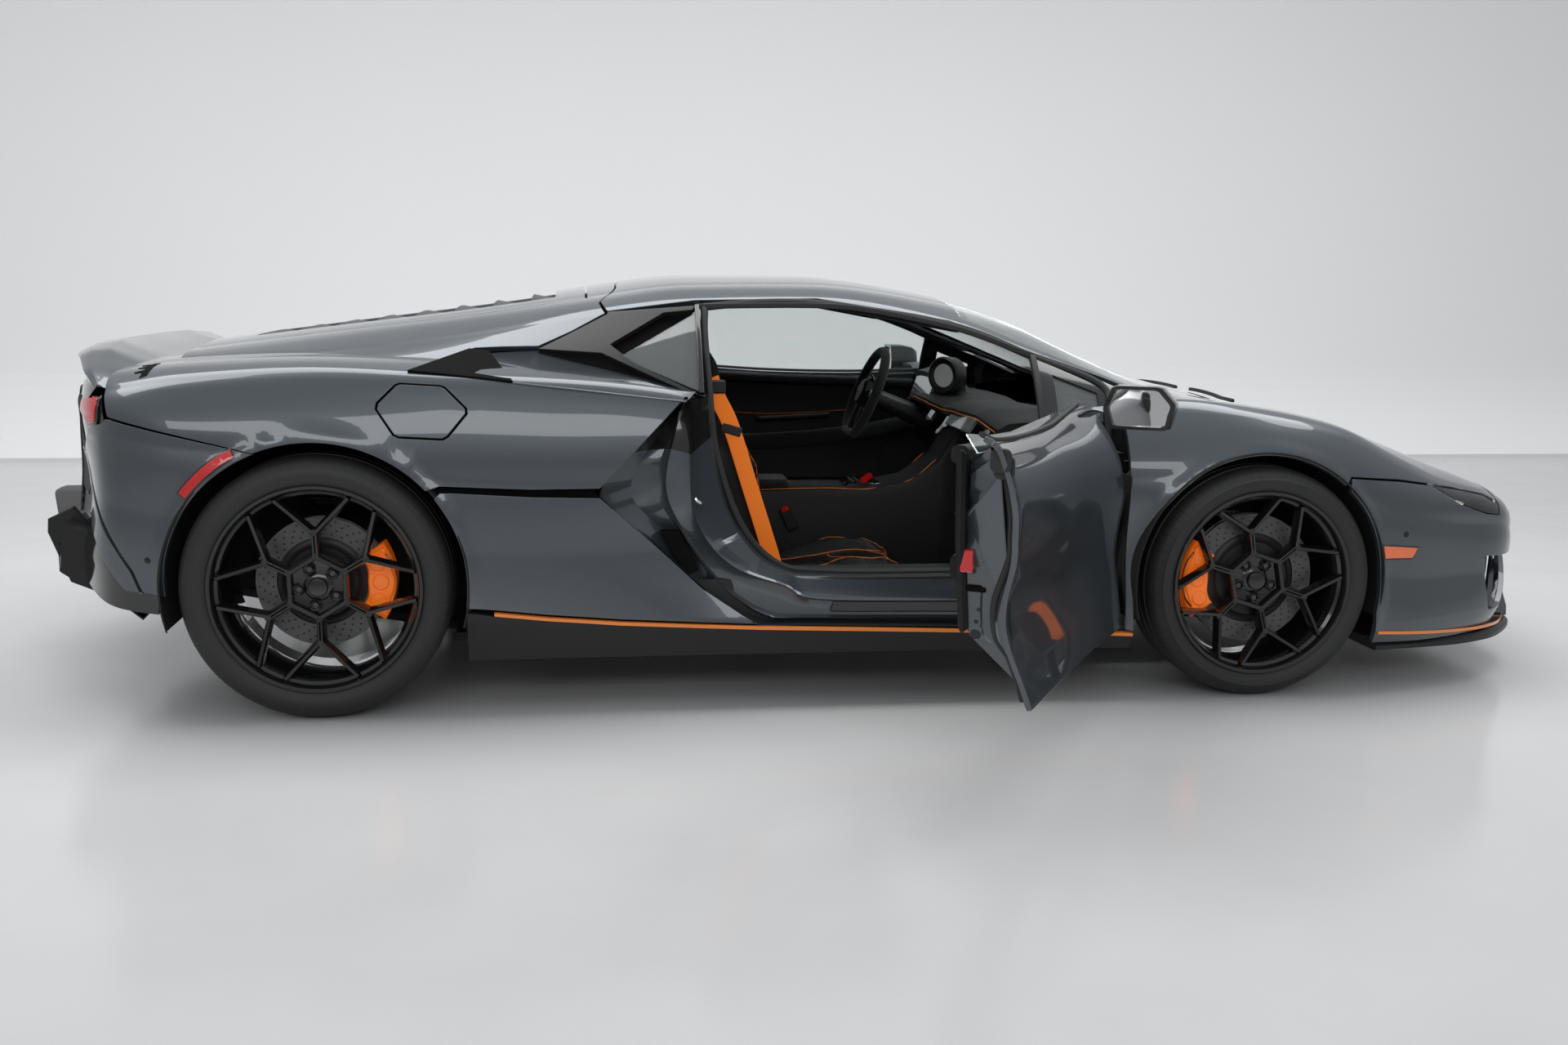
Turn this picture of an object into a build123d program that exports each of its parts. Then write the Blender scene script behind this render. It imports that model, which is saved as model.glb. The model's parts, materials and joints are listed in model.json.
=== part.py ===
"""Mid-engined two-seat supercar, built as separate panels, glass, cabin, running gear and wheels.

Millimetres. +X points forwards, +Y to the car's left, +Z up. The origin lies on the floor,
on the centre plane, midway between the axles. The right-hand door stands open.
"""

from build123d import *
from math import cos, radians, sin
import os

os.makedirs("parts", exist_ok=True)

# ---------------------------------------------------------------- driving dimensions
wheelbase = 2658.0
half_width = 998.0          # widest point of the rear wings
front_overhang = 1101.0     # front axle to the tip of the nose
rear_overhang = 947.0       # rear axle to the end of the diffuser
tail_inset = 151.0          # the rear bumper's flat middle lies this far ahead of the diffuser's end
roof_height = 1200.0

front_tyre_radius = 340.0
front_tyre_width = 255.0
front_bead_radius = 255.0
front_track = 1722.0
rear_tyre_radius = 360.0
rear_tyre_width = 325.0
rear_bead_radius = 268.0
rear_track = 1670.0
flange_height = 16.0        # the rim's flange above the bead seat
front_arch_radius = 370.0
rear_arch_radius = 392.0

skin = 24.0                 # thickness of the outer panels
shut_gap = 6.0              # between a moving panel and its neighbours
seam = 1.0                  # between two fixed panels
seat_gap = 0.3              # between a piece and what it is seated on
glass = 6.0
glass_depth = 8.0           # the side glass lies this far inside the rail's outer face
pillar = 40.0               # thickness of the roof's shell and pillars
floor_z = 147.0             # underside of the flat floor
floor_top = floor_z + 24.0  # its upper face
door_inner_y = 780.0        # inner face of the door
door_open_angle = 60.0      # how far the right-hand door stands open
sill_step_z = 355.0         # top of the inner sill
sill_step_y = 885.0
cabin_floor_y = 700.0
well_y = 545.0              # inner wall of the wheel wells

front_axle = wheelbase / 2
rear_axle = -wheelbase / 2
nose = front_axle + front_overhang
tail = rear_axle - rear_overhang
bumper_end = tail + tail_inset
door_front = 920.0
door_gap = shut_gap + 2.0
hinge_y = half_width - 32.0
cowl = front_axle + 171.0
bumper_foot = front_axle + 312.0    # the front bumper starts here, below the lamps
roof_end = -600.0           # the roof's rear edge, where the engine lid starts
FAR = 1300.0                # beyond the car on every side

# ---------------------------------------------------------------- the lower body's sections
# x, then (inset from half_width, z) of: floor edge, sill, waist, shoulder, ridge, deck edge;
# and the z of the centre line. The floor is level at the floor edge's z.
BODY = [
    (nose,              (748, 400), (728, 405), (708, 410), (698, 418), (708, 430), (798, 440), 445),
    (nose - 90,         (458, 385), (438, 390), (418, 396), (408, 420), (438, 470), (598, 500), 508),
    (front_axle + 871,  (238, 150), (198, 215), (198, 330), (198, 480), (258, 560), (478, 582), 590),
    (front_axle + 671,  (118, 148), (98, 200), (118, 330), (118, 500), (148, 595), (378, 655), 662),
    (front_axle + 471,  (58, floor_z), (38, 190), (58, 330), (53, 530), (123, 680), (348, 728), 725),
    (front_axle + 271,  (48, floor_z), (13, 188), (23, 400), (23, 610), (113, 778), (338, 790), 772),
    (front_axle,        (48, floor_z), (10, 190), (12, 450), (12, 690), (118, 836), (328, 832), 800),
    (front_axle - 229,  (48, floor_z), (13, 195), (28, 430), (23, 650), (148, 862), (318, 845), 815),
    (front_axle - 400,  (48, floor_z), (30, 200), (68, 430), (34, 640), (152, 850), (288, 830), 815),
    (400,               (63, floor_z), (43, 215), (118, 440), (73, 630), (146, 835), (288, 825), 815),
    (-200,              (63, floor_z), (38, 238), (118, 450), (63, 640), (126, 856), (288, 850), 850),
    (-345,              (60, floor_z), (36, 243), (78, 450), (48, 640), (92, 880), (288, 905), 905),
    (rear_axle + 729,   (58, floor_z), (33, 258), (43, 450), (33, 615), (88, 906), (278, 940), 940),
    (rear_axle + 329,   (48, floor_z), (13, 286), (10, 450), (8, 630), (68, 926), (258, 962), 962),
    (rear_axle,         (48, 200), (8, 330), (3, 500), (0, 700), (78, 942), (248, 968), 968),
    (rear_axle - 371,   (68, 275), (33, 400), (28, 550), (23, 740), (98, 916), (248, 950), 950),
    (rear_axle - 551,   (98, 300), (78, 420), (73, 580), (98, 790), (128, 880), (268, 930), 930),
    (rear_axle - 661,   (258, 345), (258, 440), (398, 590), (298, 760), (308, 870), (398, 915), 915),
    (bumper_end + 65,   (438, 385), (438, 440), (618, 590), (518, 770), (548, 850), (598, 885), 885),
    (bumper_end,        (698, 420), (698, 450), (748, 590), (748, 770), (758, 830), (798, 850), 850),
]
NOSE_ROWS = 2               # the rows of the nose that are too thin to be hollow

# x, then (y, z) of: base, rail, upper; and how far the crown lies under roof_height
CABIN = [
    (cowl,              (620, 780), (560, 800), (400, 806), 390),
    (1150,              (770, 800), (745, 832), (450, 880), 302),
    (934,               (800, 790), (727, 908), (470, 962), 216),
    (704,               (830, 790), (688, 986), (480, 1062), 115),
    (458,               (840, 790), (650, 1076), (490, 1126), 46),
    (64,                (850, 800), (618, 1136), (480, 1174), 0),
    (-307,              (860, 820), (608, 1127), (470, 1168), 4),
    (-590,              (860, 850), (600, 1098), (450, 1130), 40),
    (-900,              (830, 870), (610, 1032), (430, 1084), 92),
    (rear_axle,         (770, 900), (640, 975), (440, 1026), 156),
    (rear_axle - 421,   (700, 890), (600, 950), (440, 968), 218),
]
CABIN_SKIRT = 60            # the greenhouse's wall goes this far below its base


def mirrored_face(x, half):
    """A face across the car at x, from a half outline from the bottom centre to the top centre."""
    left = [Vector(x, y, z) for y, z in half]
    right = [Vector(x, -y, z) for y, z in reversed(half) if y > 0]
    return Face(Wire.make_polygon(left + right, close=True))


def body_half(row, inset):
    """The lower body's half outline at one row, drawn in by inset."""
    x, floor, sill, waist, shoulder, ridge, deck, centre = row
    bottom = floor[1] + inset
    return [
        (0, bottom),
        (half_width - floor[0] - inset, bottom),
        (half_width - sill[0] - inset, max(sill[1], bottom + 5)),
        (half_width - waist[0] - inset, waist[1]),
        (half_width - shoulder[0] - inset, shoulder[1]),
        (half_width - ridge[0] - inset, ridge[1] - inset),
        (half_width - deck[0] - inset, deck[1] - inset),
        (0, centre - inset),
    ]


def cabin_half(row, inset):
    """The greenhouse's half outline at one row, drawn in by inset."""
    x, base, rail, upper, drop = row
    return [
        (0, base[1] - CABIN_SKIRT),
        (base[0] - inset, base[1] - CABIN_SKIRT),
        (base[0] - inset, base[1]),
        (rail[0] - inset, rail[1] - inset),
        (upper[0] - inset, upper[1] - inset),
        (0, roof_height - drop - inset),
    ]


def lofted(table, half, inset=0.0):
    """A solid ruled from section to section, drawn in by inset at its ends too."""
    last = len(table) - 1
    ends = {0: -inset, last: inset}
    return loft([mirrored_face(row[0] + ends.get(i, 0.0), half(row, inset)) for i, row in enumerate(table)],
                ruled=True)


def side_prism(points, y0, y1, grow=0.0):
    """A block with a side-view outline of (x, z), from y0 to y1, its outline moved out by grow."""
    face = Face(Wire.make_polygon([Vector(x, y0, z) for x, z in points], close=True))
    if grow:
        face = offset(face, grow, kind=Kind.INTERSECTION).face()
    return Solid.extrude(face, Vector(0, y1 - y0, 0))


def plan_prism(points, z0, z1):
    """A block with a plan outline of (x, y), from z0 to z1."""
    face = Face(Wire.make_polygon([Vector(x, y, z0) for x, y in points], close=True))
    return Solid.extrude(face, Vector(0, 0, z1 - z0))


def plan_pair(points, z0, z1):
    """A plan prism whose outline is given on the left side and mirrored to the right."""
    return plan_prism(points + [(x, -y) for x, y in reversed(points)], z0, z1)


def block(x0, x1, y0, y1, z0, z1):
    return Pos((x0 + x1) / 2, (y0 + y1) / 2, (z0 + z1) / 2) * Box(abs(x1 - x0), abs(y1 - y0), abs(z1 - z0))


def across(x, z, radius, y0, y1):
    """A cylinder along Y."""
    return Pos(x, (y0 + y1) / 2, z) * Rot(90, 0, 0) * Cylinder(radius, abs(y1 - y0))


def along(x0, x1, y, z, radius):
    """A cylinder along X."""
    return Pos((x0 + x1) / 2, y, z) * Rot(0, 90, 0) * Cylinder(radius, abs(x1 - x0))


def bar(start, end, radius):
    """A round bar between two points."""
    a, b = Vector(*start), Vector(*end)
    return Solid.make_cylinder(radius, (b - a).length, Plane(origin=a, z_dir=b - a))


def flipped(shape):
    """The same shape on the other side of the car."""
    return shape.mirror(Plane.XZ)


def both(shape):
    return [shape, flipped(shape)]


def save(name, *shapes):
    solids = [s for shape in shapes for s in shape.solids()]
    export_step(Compound(solids), f"parts/{name}.step")


# ---------------------------------------------------------------- hulls
outer_hull = lofted(BODY, body_half)
inner_hull = lofted(BODY[NOSE_ROWS:], body_half, skin)
cabin_hull = lofted(CABIN, cabin_half)
cabin_clear = lofted(CABIN, cabin_half, -seam)
cabin_inner = lofted(CABIN, cabin_half, pillar)

arches = [
    shape
    for x, z, radius in (
        (front_axle, front_tyre_radius, front_arch_radius),
        (rear_axle, rear_tyre_radius, rear_arch_radius),
    )
    for shape in both(across(x, z, radius, well_y + 10, FAR))
]


def sill_top(x):
    """Height of the outer sill's upper edge."""
    return 228.0 - 0.033 * x


# side-view outlines, (x, z)
door_foot = 12.0            # between the door and the outer sill, so that it stays clear as it swings
door_tail_x = -150.0        # the door's rear edge starts here at the sill
door_tail = [(-300, 900), (-240, 640)]
sill_rear, sill_front = -937.0, 955.0
DOOR = [
    (door_tail_x, sill_top(door_tail_x) + door_foot), (door_front, sill_top(door_front) + door_foot),
    (door_front, 900), *door_tail,
]
DOOR_HOLE = [
    (door_tail_x - door_gap, sill_top(door_tail_x)), (door_front + shut_gap, sill_top(door_front)),
    (door_front + shut_gap, 1000), (door_tail[0][0] - door_gap, 1000),
    *((x - door_gap, z) for x, z in door_tail),
]
INTAKE = [(-140, 232), (-230, 640), (-280, 895), (-330, 890), (-575, 620)]
SIDE_GLASS = [(895, 770), (895, 912), (704, 978), (458, 1068), (64, 1128), (-285, 1119), (-285, 770)]
LOWERED_GLASS = [(1000, 1300), (1000, 850), (100, 850), (-120, 905), (-285, 985), (-400, 1300)]
WINDOW_HOLE = [
    (door_front + shut_gap, 700), (door_front + shut_gap, 880), (905, 900), (905, 916),
    *((x, z + shut_gap) for x, z in SIDE_GLASS[2:5]), (-290, 1125), (-290, 700),
]
QUARTER_GLASS = [(-318, 885), (-318, 1108), (-396, 1098), (-535, 984), (-540, 905)]
BUMPER_LINE = [
    (bumper_foot, 0), (bumper_foot, 420), (1589, 645), (1883, 616), (2100, 600), (2190, 660), (2190, 800),
    (2600, 800), (2600, 0),
]
BUMPER_TAIL = [
    (-1711, 0), (-1711, 377), (-1858, 813), (-1830, 900), (-1760, 1000), (-2600, 1000), (-2600, 0),
]
HEADLAMP = [(1885, 612), (2110, 575), (2168, 543), (2150, 505), (1985, 545)]

# plan outlines, (x, y)
BONNET = [(cowl + 8, 634), (cowl + 60, 628), (1800, 600), (2130, 500), (2162, 470)]
BONNET_HOLE = [(cowl, 646), (1800, 606), (2138, 506), (2173, 476)]
WINDSCREEN = [(cowl - 2, 560), (1150, 700), (934, 682), (704, 643), (505, 605)]
LID = [(roof_end - shut_gap, 430), (-900, 420), (rear_axle, 410), (-1738, 400)]
LID_HOLE = [(x, y + shut_gap) for x, y in [(roof_end, 430), *LID[1:3], (-1744, 400)]]
LID_BORE = [(-630, 405), (-900, 395), (rear_axle, 385), (-1715, 375)]
SPLITTER = [(1720, 930), (2000, 880), (2200, 780), (2354, 600), (2420, 300)]
DIFFUSER = [(-1690, 640), (-1900, 700), (tail + 209, 700), (tail + 144, 500), (tail + 71, 250), (tail, 60)]
SPOILER = [(-1780, 840), (-1900, 830), (-1960, 740), (-2045, 500), (-2105, 200)]


# ---------------------------------------------------------------- lower body panels
shell = outer_hull - inner_hull - cabin_clear
for arch in arches:
    shell = shell - arch

def sill_side(grow):
    """The outer sill's side-view outline, moved out by grow."""
    x0, x1 = sill_rear - grow, sill_front + grow
    return [(x0, 0), (x0, sill_top(sill_rear) + grow), (x1, sill_top(sill_front) + grow), (x1, 0)]


pan_rear = -1700.0
sill_zone = side_prism(sill_side(0), cabin_floor_y + seam, FAR)
pan_zone = block(pan_rear, bumper_foot - seam, -cabin_floor_y, cabin_floor_y, 0, floor_top + seam)
pan_rise = side_prism([(-900, 0), (-900, 180), (rear_axle, 232), (pan_rear, 306), (pan_rear, 0)],
                      -well_y, well_y)
bonnet_skin = 14.0          # thin, so that its front edge lifts clear of the bumper
bonnet_zone = plan_pair(BONNET, 450, 1000)
bonnet_hole = plan_pair(BONNET_HOLE, 450, 1000)
front_zone = side_prism(BUMPER_LINE, -FAR, FAR)
rear_zone = side_prism(BUMPER_TAIL, -FAR, FAR)
door_hole = side_prism(DOOR_HOLE, 500, FAR)
intake_hole = side_prism(INTAKE, 500, FAR)

headlamp = shell & side_prism(HEADLAMP, 580, FAR)
lamp_hole = side_prism(HEADLAMP, 580 - seat_gap, FAR, seat_gap)
taillamp_box = block(-2060, -1895, 560, 850, 780, 835)
taillamp = shell & taillamp_box
taillamp_hole = offset(taillamp_box, seat_gap, kind=Kind.INTERSECTION)
save("headlamps", *both(headlamp))
save("taillamps", *both(taillamp))

bonnet = (outer_hull - cabin_clear - lofted(BODY[NOSE_ROWS:], body_half, bonnet_skin)) & bonnet_zone
save("bonnet", bonnet)

tow_y, tow_z, tow_radius, tow_depth = -200.0, 420.0, 8.0, 80.0    # threaded hole for the tow eye
tow_hole = along(nose - tow_depth, nose + 1, tow_y, tow_z, tow_radius)
side_intake = block(nose - 240, nose + 70, 430, 770, 215, 325)
middle_intake = block(nose - 200, nose + 70, -360, 360, 190, 300)
front_bumper = (shell - bonnet_hole) & front_zone
for hole in (*both(lamp_hole), *both(side_intake), middle_intake, tow_hole):
    front_bumper = front_bumper - hole
save("front_bumper", front_bumper)

pipe_y, pipe_z, pipe_radius, pipe_wall = 150.0, 620.0, 55.0, 5.0
pipe_end, pipe_start = bumper_end - 20, bumper_end + 140
plate_hole_pitch, plate_hole_z, plate_hole_radius = 178.0, 735.0, 3.0     # two screws for the rear plate
pipe = along(pipe_end, pipe_start, pipe_y, pipe_z, pipe_radius)
bore = along(pipe_end - 4, pipe_end + 130, pipe_y, pipe_z, pipe_radius - pipe_wall)
pipe_hole = along(bumper_end - 70, pipe_start, pipe_y, pipe_z, pipe_radius + seat_gap)
plate_hole = along(bumper_end - 1, bumper_end + skin + 10, plate_hole_pitch / 2, plate_hole_z, plate_hole_radius)
rear_bumper = shell & rear_zone
for hole in (*both(taillamp_hole), *both(pipe_hole), *both(plate_hole)):
    rear_bumper = rear_bumper - hole
save("rear_bumper", rear_bumper)
silencer = block(pipe_start - 2, pipe_start + 146, -320, 320, 500, 700)
save("exhaust", silencer + pipe + flipped(pipe) - bore - flipped(bore))

save("sills", *both(shell & sill_zone))

side_zone = block(-2000, 2200, well_y + 20, FAR, 0, FAR)
side = (shell & side_zone) - pan_zone - bonnet_hole - door_hole - intake_hole - lamp_hole - taillamp_hole
for outline in (BUMPER_LINE, BUMPER_TAIL):
    side = side - side_prism(outline, -FAR, FAR, seam)
side = side - side_prism(sill_side(seam), 500, FAR)
fender = side & block(500, 2200, 500, FAR, 0, FAR)
quarter = side & block(-2000, 0, 500, FAR, 0, FAR)
save("fender_left", fender)
save("fender_right", flipped(fender))
save("quarter_left", quarter)

# the filler flap: an eight-sided plate let into the right-hand rear wing
flap_x, flap_z, flap_radius, flap_thickness = -1052.0, 830.0, 72.0, 8.0
octagon = [(cos(radians(22.5 + 45 * i)), sin(radians(22.5 + 45 * i))) for i in range(8)]


def flap_prism(radius):
    return side_prism([(flap_x + radius * c, flap_z + radius * s) for c, s in octagon], -FAR, -700)


flap = (outer_hull - lofted(BODY[NOSE_ROWS:], body_half, flap_thickness)) & flap_prism(flap_radius)
flap_pocket = (outer_hull - lofted(BODY[NOSE_ROWS:], body_half, flap_thickness + seat_gap)) \
    & flap_prism(flap_radius + shut_gap)
save("fuel_flap", flap)
quarter_right = flipped(quarter) - flap_pocket
save("quarter_right", quarter_right)


# ---------------------------------------------------------------- doors, their glass and mirrors
pane_outer = lofted(CABIN, cabin_half, glass_depth)
pane_inner = lofted(CABIN, cabin_half, glass_depth + glass)
slot_outer = lofted(CABIN, cabin_half, glass_depth - seat_gap)
slot_inner = lofted(CABIN, cabin_half, glass_depth + glass + seat_gap)
panes = pane_outer - pane_inner
slots = slot_outer - slot_inner
pane_foot = 775.0           # bottom edge of the side glass, inside the door

door_body = outer_hull & side_prism(DOOR, door_inner_y, FAR)
door_body = door_body - block(-400, 1000, 0, sill_step_y + 12, 0, sill_step_z + 12)
door_body = door_body - block(-400, -210, 0, sill_step_y, 0, FAR)
door_body = door_body - (slots & block(-400, 1000, 500, FAR, pane_foot - seat_gap, FAR))
door_glass = panes & side_prism(SIDE_GLASS, 400, FAR) & block(-400, 1000, 400, FAR, pane_foot, FAR)
door_glass_down = door_glass - side_prism(LOWERED_GLASS, 400, FAR)

mirror_x, mirror_y, mirror_z = 672.0, 1030.0, 872.0
housing = Pos(mirror_x, mirror_y, mirror_z) * Box(120, 190, 118)
housing = chamfer(housing.edges().filter_by(Axis.Z), 30)
housing = housing - Pos(mirror_x - 56, mirror_y, mirror_z) * Box(20, 170, 98)
mirror_arm = plan_prism([(690, 840), (640, 960), (700, 960), (760, 840)], 857, 872)
mirror_foot = block(690, 760, 845, 885, 790, 860) - lofted(BODY, body_half, -seat_gap)
mirror = housing + mirror_arm + mirror_foot

door_hinge = Axis((door_front + shut_gap / 2, -hinge_y, 0), (0, 0, 1))


def opened(shape):
    """The right-hand piece, mirrored from the left and swung out with the open door."""
    return flipped(shape).rotate(door_hinge, door_open_angle)


for name, shape in (("door", door_body), ("mirror", mirror)):
    save(f"{name}_left", shape)
    save(f"{name}_right", opened(shape))
save("door_glass_left", door_glass)
save("door_glass_right", opened(door_glass_down))

# ---------------------------------------------------------------- roof, pillars and the fixed glass
windscreen = (cabin_hull - lofted(CABIN, cabin_half, glass)) & plan_pair(
    [(x, y - seat_gap) for x, y in WINDSCREEN], 720, FAR)
# the engine lid lies in a rebate: its hole is wide above the seat and narrower below it
lid_seat = lofted(CABIN, cabin_half, skin + seat_gap)
roof_frame = (cabin_hull - cabin_inner) - plan_pair(WINDSCREEN, 700, FAR) \
    - (plan_pair(LID_HOLE, 700, FAR) - lid_seat) - plan_pair(LID_BORE, 700, FAR)
for points, gap in ((WINDOW_HOLE, 0), (QUARTER_GLASS, seat_gap)):
    for hole in both(side_prism(points, 400, FAR, gap)):
        roof_frame = roof_frame - hole
engine_lid = (cabin_hull - lofted(CABIN, cabin_half, skin)) & plan_pair(LID, 700, FAR)
quarter_glass = panes & side_prism(QUARTER_GLASS, 400, FAR)
bulkhead_glass = block(-578, -572, -500, 500, 860, 1055)
save("roof_frame", roof_frame)
save("windscreen", windscreen)
save("engine_lid", engine_lid)
save("fixed_glass", *both(quarter_glass), bulkhead_glass)

# ---------------------------------------------------------------- tub: floor, sills, bulkheads, rails
rail_y = well_y - 55        # inner face of the front rails
rear_rail_y = 420.0
bulkhead_x = -592.0         # rear face of the wall behind the seats
post_top = 740.0
tub = (shell & pan_zone) + (shell & pan_rise)
inner_sill = block(-900, door_front + 10, cabin_floor_y - 10, sill_step_y, floor_top + 2, sill_step_z)
b_post = block(-560, -274, door_inner_y, 850, sill_step_z - 5, post_top)
a_post = block(door_front + shut_gap, 958, 640, 800, sill_step_z - 40, 700)
front_bulkhead = block(935, 957, 0, cabin_floor_y, floor_top, 700)
rear_bulkhead = block(bulkhead_x, bulkhead_x + 24, 0, 850, floor_top, post_top)
front_rail = block(950, 1740, rail_y, rail_y + 15, floor_top + 4, 640)
front_floor = block(950, bumper_foot - 5, 0, rail_y + 15, floor_top - 6, floor_top + 14)
rear_rail = block(-1690, -580, rear_rail_y, rear_rail_y + 30, 300, 620) \
    - across(rear_axle, rear_tyre_radius, 30, rear_rail_y - 20, rear_rail_y + 50)
glass_sill = block(bulkhead_x, -558, 0, 500, 700, 860 - seat_gap)
hinge_pin = 2.4             # each door hangs on two thin leaves with rolled eyes, in its front shut line
leaves = []
for z0, z1, leaf_y in ((216, 246, sill_step_y - 10), (618, 654, 790)):
    leaf = block(door_front + 2, door_front + 4, leaf_y, hinge_y, z0, z1)
    leaf = leaf + block(door_front + 2, door_front + 12, leaf_y - 20, leaf_y, z0, z1)
    eye = Pos(door_front + shut_gap / 2, hinge_y, (z0 + z1) / 2) * Cylinder(hinge_pin, z1 - z0)
    leaves.append(leaf + eye)
bonnet_seat = lofted(BODY[NOSE_ROWS:], body_half, bonnet_skin + seat_gap)
bonnet_stop = Pos(1650, rail_y + 7, 700) * Cylinder(14, 200) & bonnet_seat
for piece in (*leaves, bonnet_stop, inner_sill, b_post, a_post, front_bulkhead, rear_bulkhead, front_rail,
              front_floor, rear_rail, glass_sill):
    for side_piece in both(piece):
        tub = tub + side_piece
save("tub", tub)

box_wall = 8.0
box_x0, box_x1, box_half, box_z0, box_z1 = 1570.0, 2000.0, 330.0, 300.0, 590.0
luggage_box = block(box_x0, box_x1, -box_half, box_half, box_z0, box_z1) - block(
    box_x0 + box_wall, box_x1 - box_wall, box_wall - box_half, box_half - box_wall, box_z0 + box_wall, FAR)
box_bracket = block(box_x0 + 30, box_x0 + 150, box_half - box_wall, rail_y - seat_gap, box_z0, box_z0 + 20)
save("luggage_box", luggage_box + box_bracket + flipped(box_bracket))

engine_block = block(-1250, -690, -300, 300, 330, 830) + block(-1600, -1250, -200, 200, 300, 520)
engine_mount = block(-1000, -900, 290, rear_rail_y - seat_gap, 480, 540)
save("engine_block", engine_block + engine_mount + flipped(engine_mount))

# ---------------------------------------------------------------- cabin
seat_y, seat_half = 375.0, 230.0
seat_side = [
    (-330, 150), (392, 150), (392, 330), (0, 285), (-60, 310), (-225, 1010), (-330, 1030), (-430, 700),
]
seat = side_prism(seat_side, seat_y - seat_half, seat_y + seat_half)
save("seats", *both(seat & block(-500, 500, 0, 700, floor_top + seat_gap, 1100)))

hand_wheel_x, hand_wheel_y, hand_wheel_z = 403.0, seat_y - 5, 780.0
hand_wheel_radius, hand_wheel_grip, wheel_rake = 168.0, 15.0, 22.0
shaft_radius, console_half = 28.0, 110.0
dashboard = block(640, 880, -640, 640, 560, 790) \
    + block(-240, 640, -console_half, console_half, floor_top + seat_gap, 470) \
    + block(560, 700, -console_half, console_half, 400, 760) \
    + block(600, 700, seat_y - 190, seat_y + 190, 700, 840) \
    + block(880, 935 - seat_gap, -400, 400, 580, 660)
shaft_dir = Vector(cos(radians(wheel_rake)), 0, -sin(radians(wheel_rake)))
hub_point = Vector(hand_wheel_x, hand_wheel_y, hand_wheel_z)
hand_plane = Plane(origin=hub_point, z_dir=shaft_dir)
hub_plane = Plane(origin=hub_point - shaft_dir * 20, z_dir=shaft_dir)
steering_wheel = hand_plane * Torus(hand_wheel_radius, hand_wheel_grip) \
    + Solid.make_cylinder(62, 40, hub_plane) + Solid.make_cylinder(shaft_radius, 260, hand_plane) \
    + hand_plane * Box(30, 2 * hand_wheel_radius - 6, 14) \
    + hand_plane * (Pos(-hand_wheel_radius / 2, 0, 0) * Box(hand_wheel_radius - 3, 36, 14))
save("steering_wheel", steering_wheel)
save("dashboard", dashboard - Solid.make_cylinder(shaft_radius + seat_gap, 300, hand_plane))

# ---------------------------------------------------------------- wheels
AXLES = {
    # name: axle x, tyre radius, width, bead radius, centre y, disc radius
    "front": (front_axle, front_tyre_radius, front_tyre_width, front_bead_radius, front_track / 2, 190),
    "rear": (rear_axle, rear_tyre_radius, rear_tyre_width, rear_bead_radius, rear_track / 2, 178),
}
rim_wall = 9.0
disc_span = (-4.0, 28.0)    # the brake disc's two faces, from the tyre's centre plane
spoke_count = 6
hub_radius = 62.0
axle_radius = 30.0


def turned(profile, x, y, z):
    """A ring turned about the wheel's axis from a (distance along Y, radius) outline."""
    wire = Wire.make_polygon([Vector(0, a, r) for a, r in profile], close=True)
    ring = Solid.revolve(Face(wire), 360, Axis.Y)
    return Pos(x, y, z) * ring


def tyre(x, radius, width, bead, y):
    """The tyre, with chamfered shoulders and a bulged side wall."""
    half = width / 2
    outer_side = [
        (half - 45, radius - 2), (half - 20, radius - 12), (half - 2, radius - 40),
        (half, bead + flange_height + 12), (half - 16, bead + flange_height + 2), (half - 16, bead + seat_gap),
    ]
    inner_side = [(-a, r) for a, r in reversed(outer_side)]
    return turned([*inner_side, (0, radius), *outer_side], x, y, radius)


def rim(x, radius, width, bead, y, disc):
    """Barrel, six forked spokes and the hub, with the brake disc bolted behind it."""
    half = width / 2
    lip = half - 6
    bead_y = half - 15
    barrel = turned([
        (-lip, bead + flange_height), (-bead_y, bead + flange_height), (-bead_y, bead), (bead_y, bead),
        (bead_y, bead + flange_height), (lip, bead + flange_height), (lip - 4, bead - rim_wall),
        (-lip, bead - rim_wall)], x, 0, radius)
    face_y = half - 42
    body = across(x, radius, hub_radius, disc_span[0] - 4, face_y + 26)
    for i in range(spoke_count):
        turn = 360 / spoke_count * i + 90
        body = body + Pos(x, face_y, radius) * Rot(0, turn, 0) * Pos(110, 0, 0) * Box(130, 26, 34)
        for lean in (-22, 22):
            body = body + Pos(x, face_y, radius) * Rot(0, turn, 0) * Pos(160, 0, 0) * Rot(0, lean, 0) \
                * Pos(50, 0, 0) * Box(110, 24, 20)
    body = body & across(x, radius, bead - 2, -half, half)
    disc_ring = across(x, radius, disc, *disc_span) - across(
        x, radius, disc - 62, disc_span[0] + 6, disc_span[1] + 12)
    body = body + barrel + disc_ring + across(x, radius, hub_radius + 20, disc_span[0], disc_span[1] + 2)
    body = body - across(x, radius, axle_radius + seat_gap, -60, 14)
    return Pos(0, y, 0) * body


for end, (x, radius, width, bead, y, disc) in AXLES.items():
    left_tyre, left_rim = tyre(x, radius, width, bead, y), rim(x, radius, width, bead, y, disc)
    save(f"tyre_{end}_left", left_tyre)
    save(f"tyre_{end}_right", flipped(left_tyre))
    save(f"rim_{end}_left", left_rim)
    save(f"rim_{end}_right", flipped(left_rim))


# ---------------------------------------------------------------- suspension, knuckles and calipers
king_offset = 27.0          # steering axis inboard of the tyre's centre plane
king_y = front_track / 2 - king_offset
rear_upright_y = rear_track / 2 - 40
joint_reach = 155.0         # the ball joints lie this far above and below the axle
ball = 16.0
upright_half = 32.0
arm = 14.0


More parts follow.
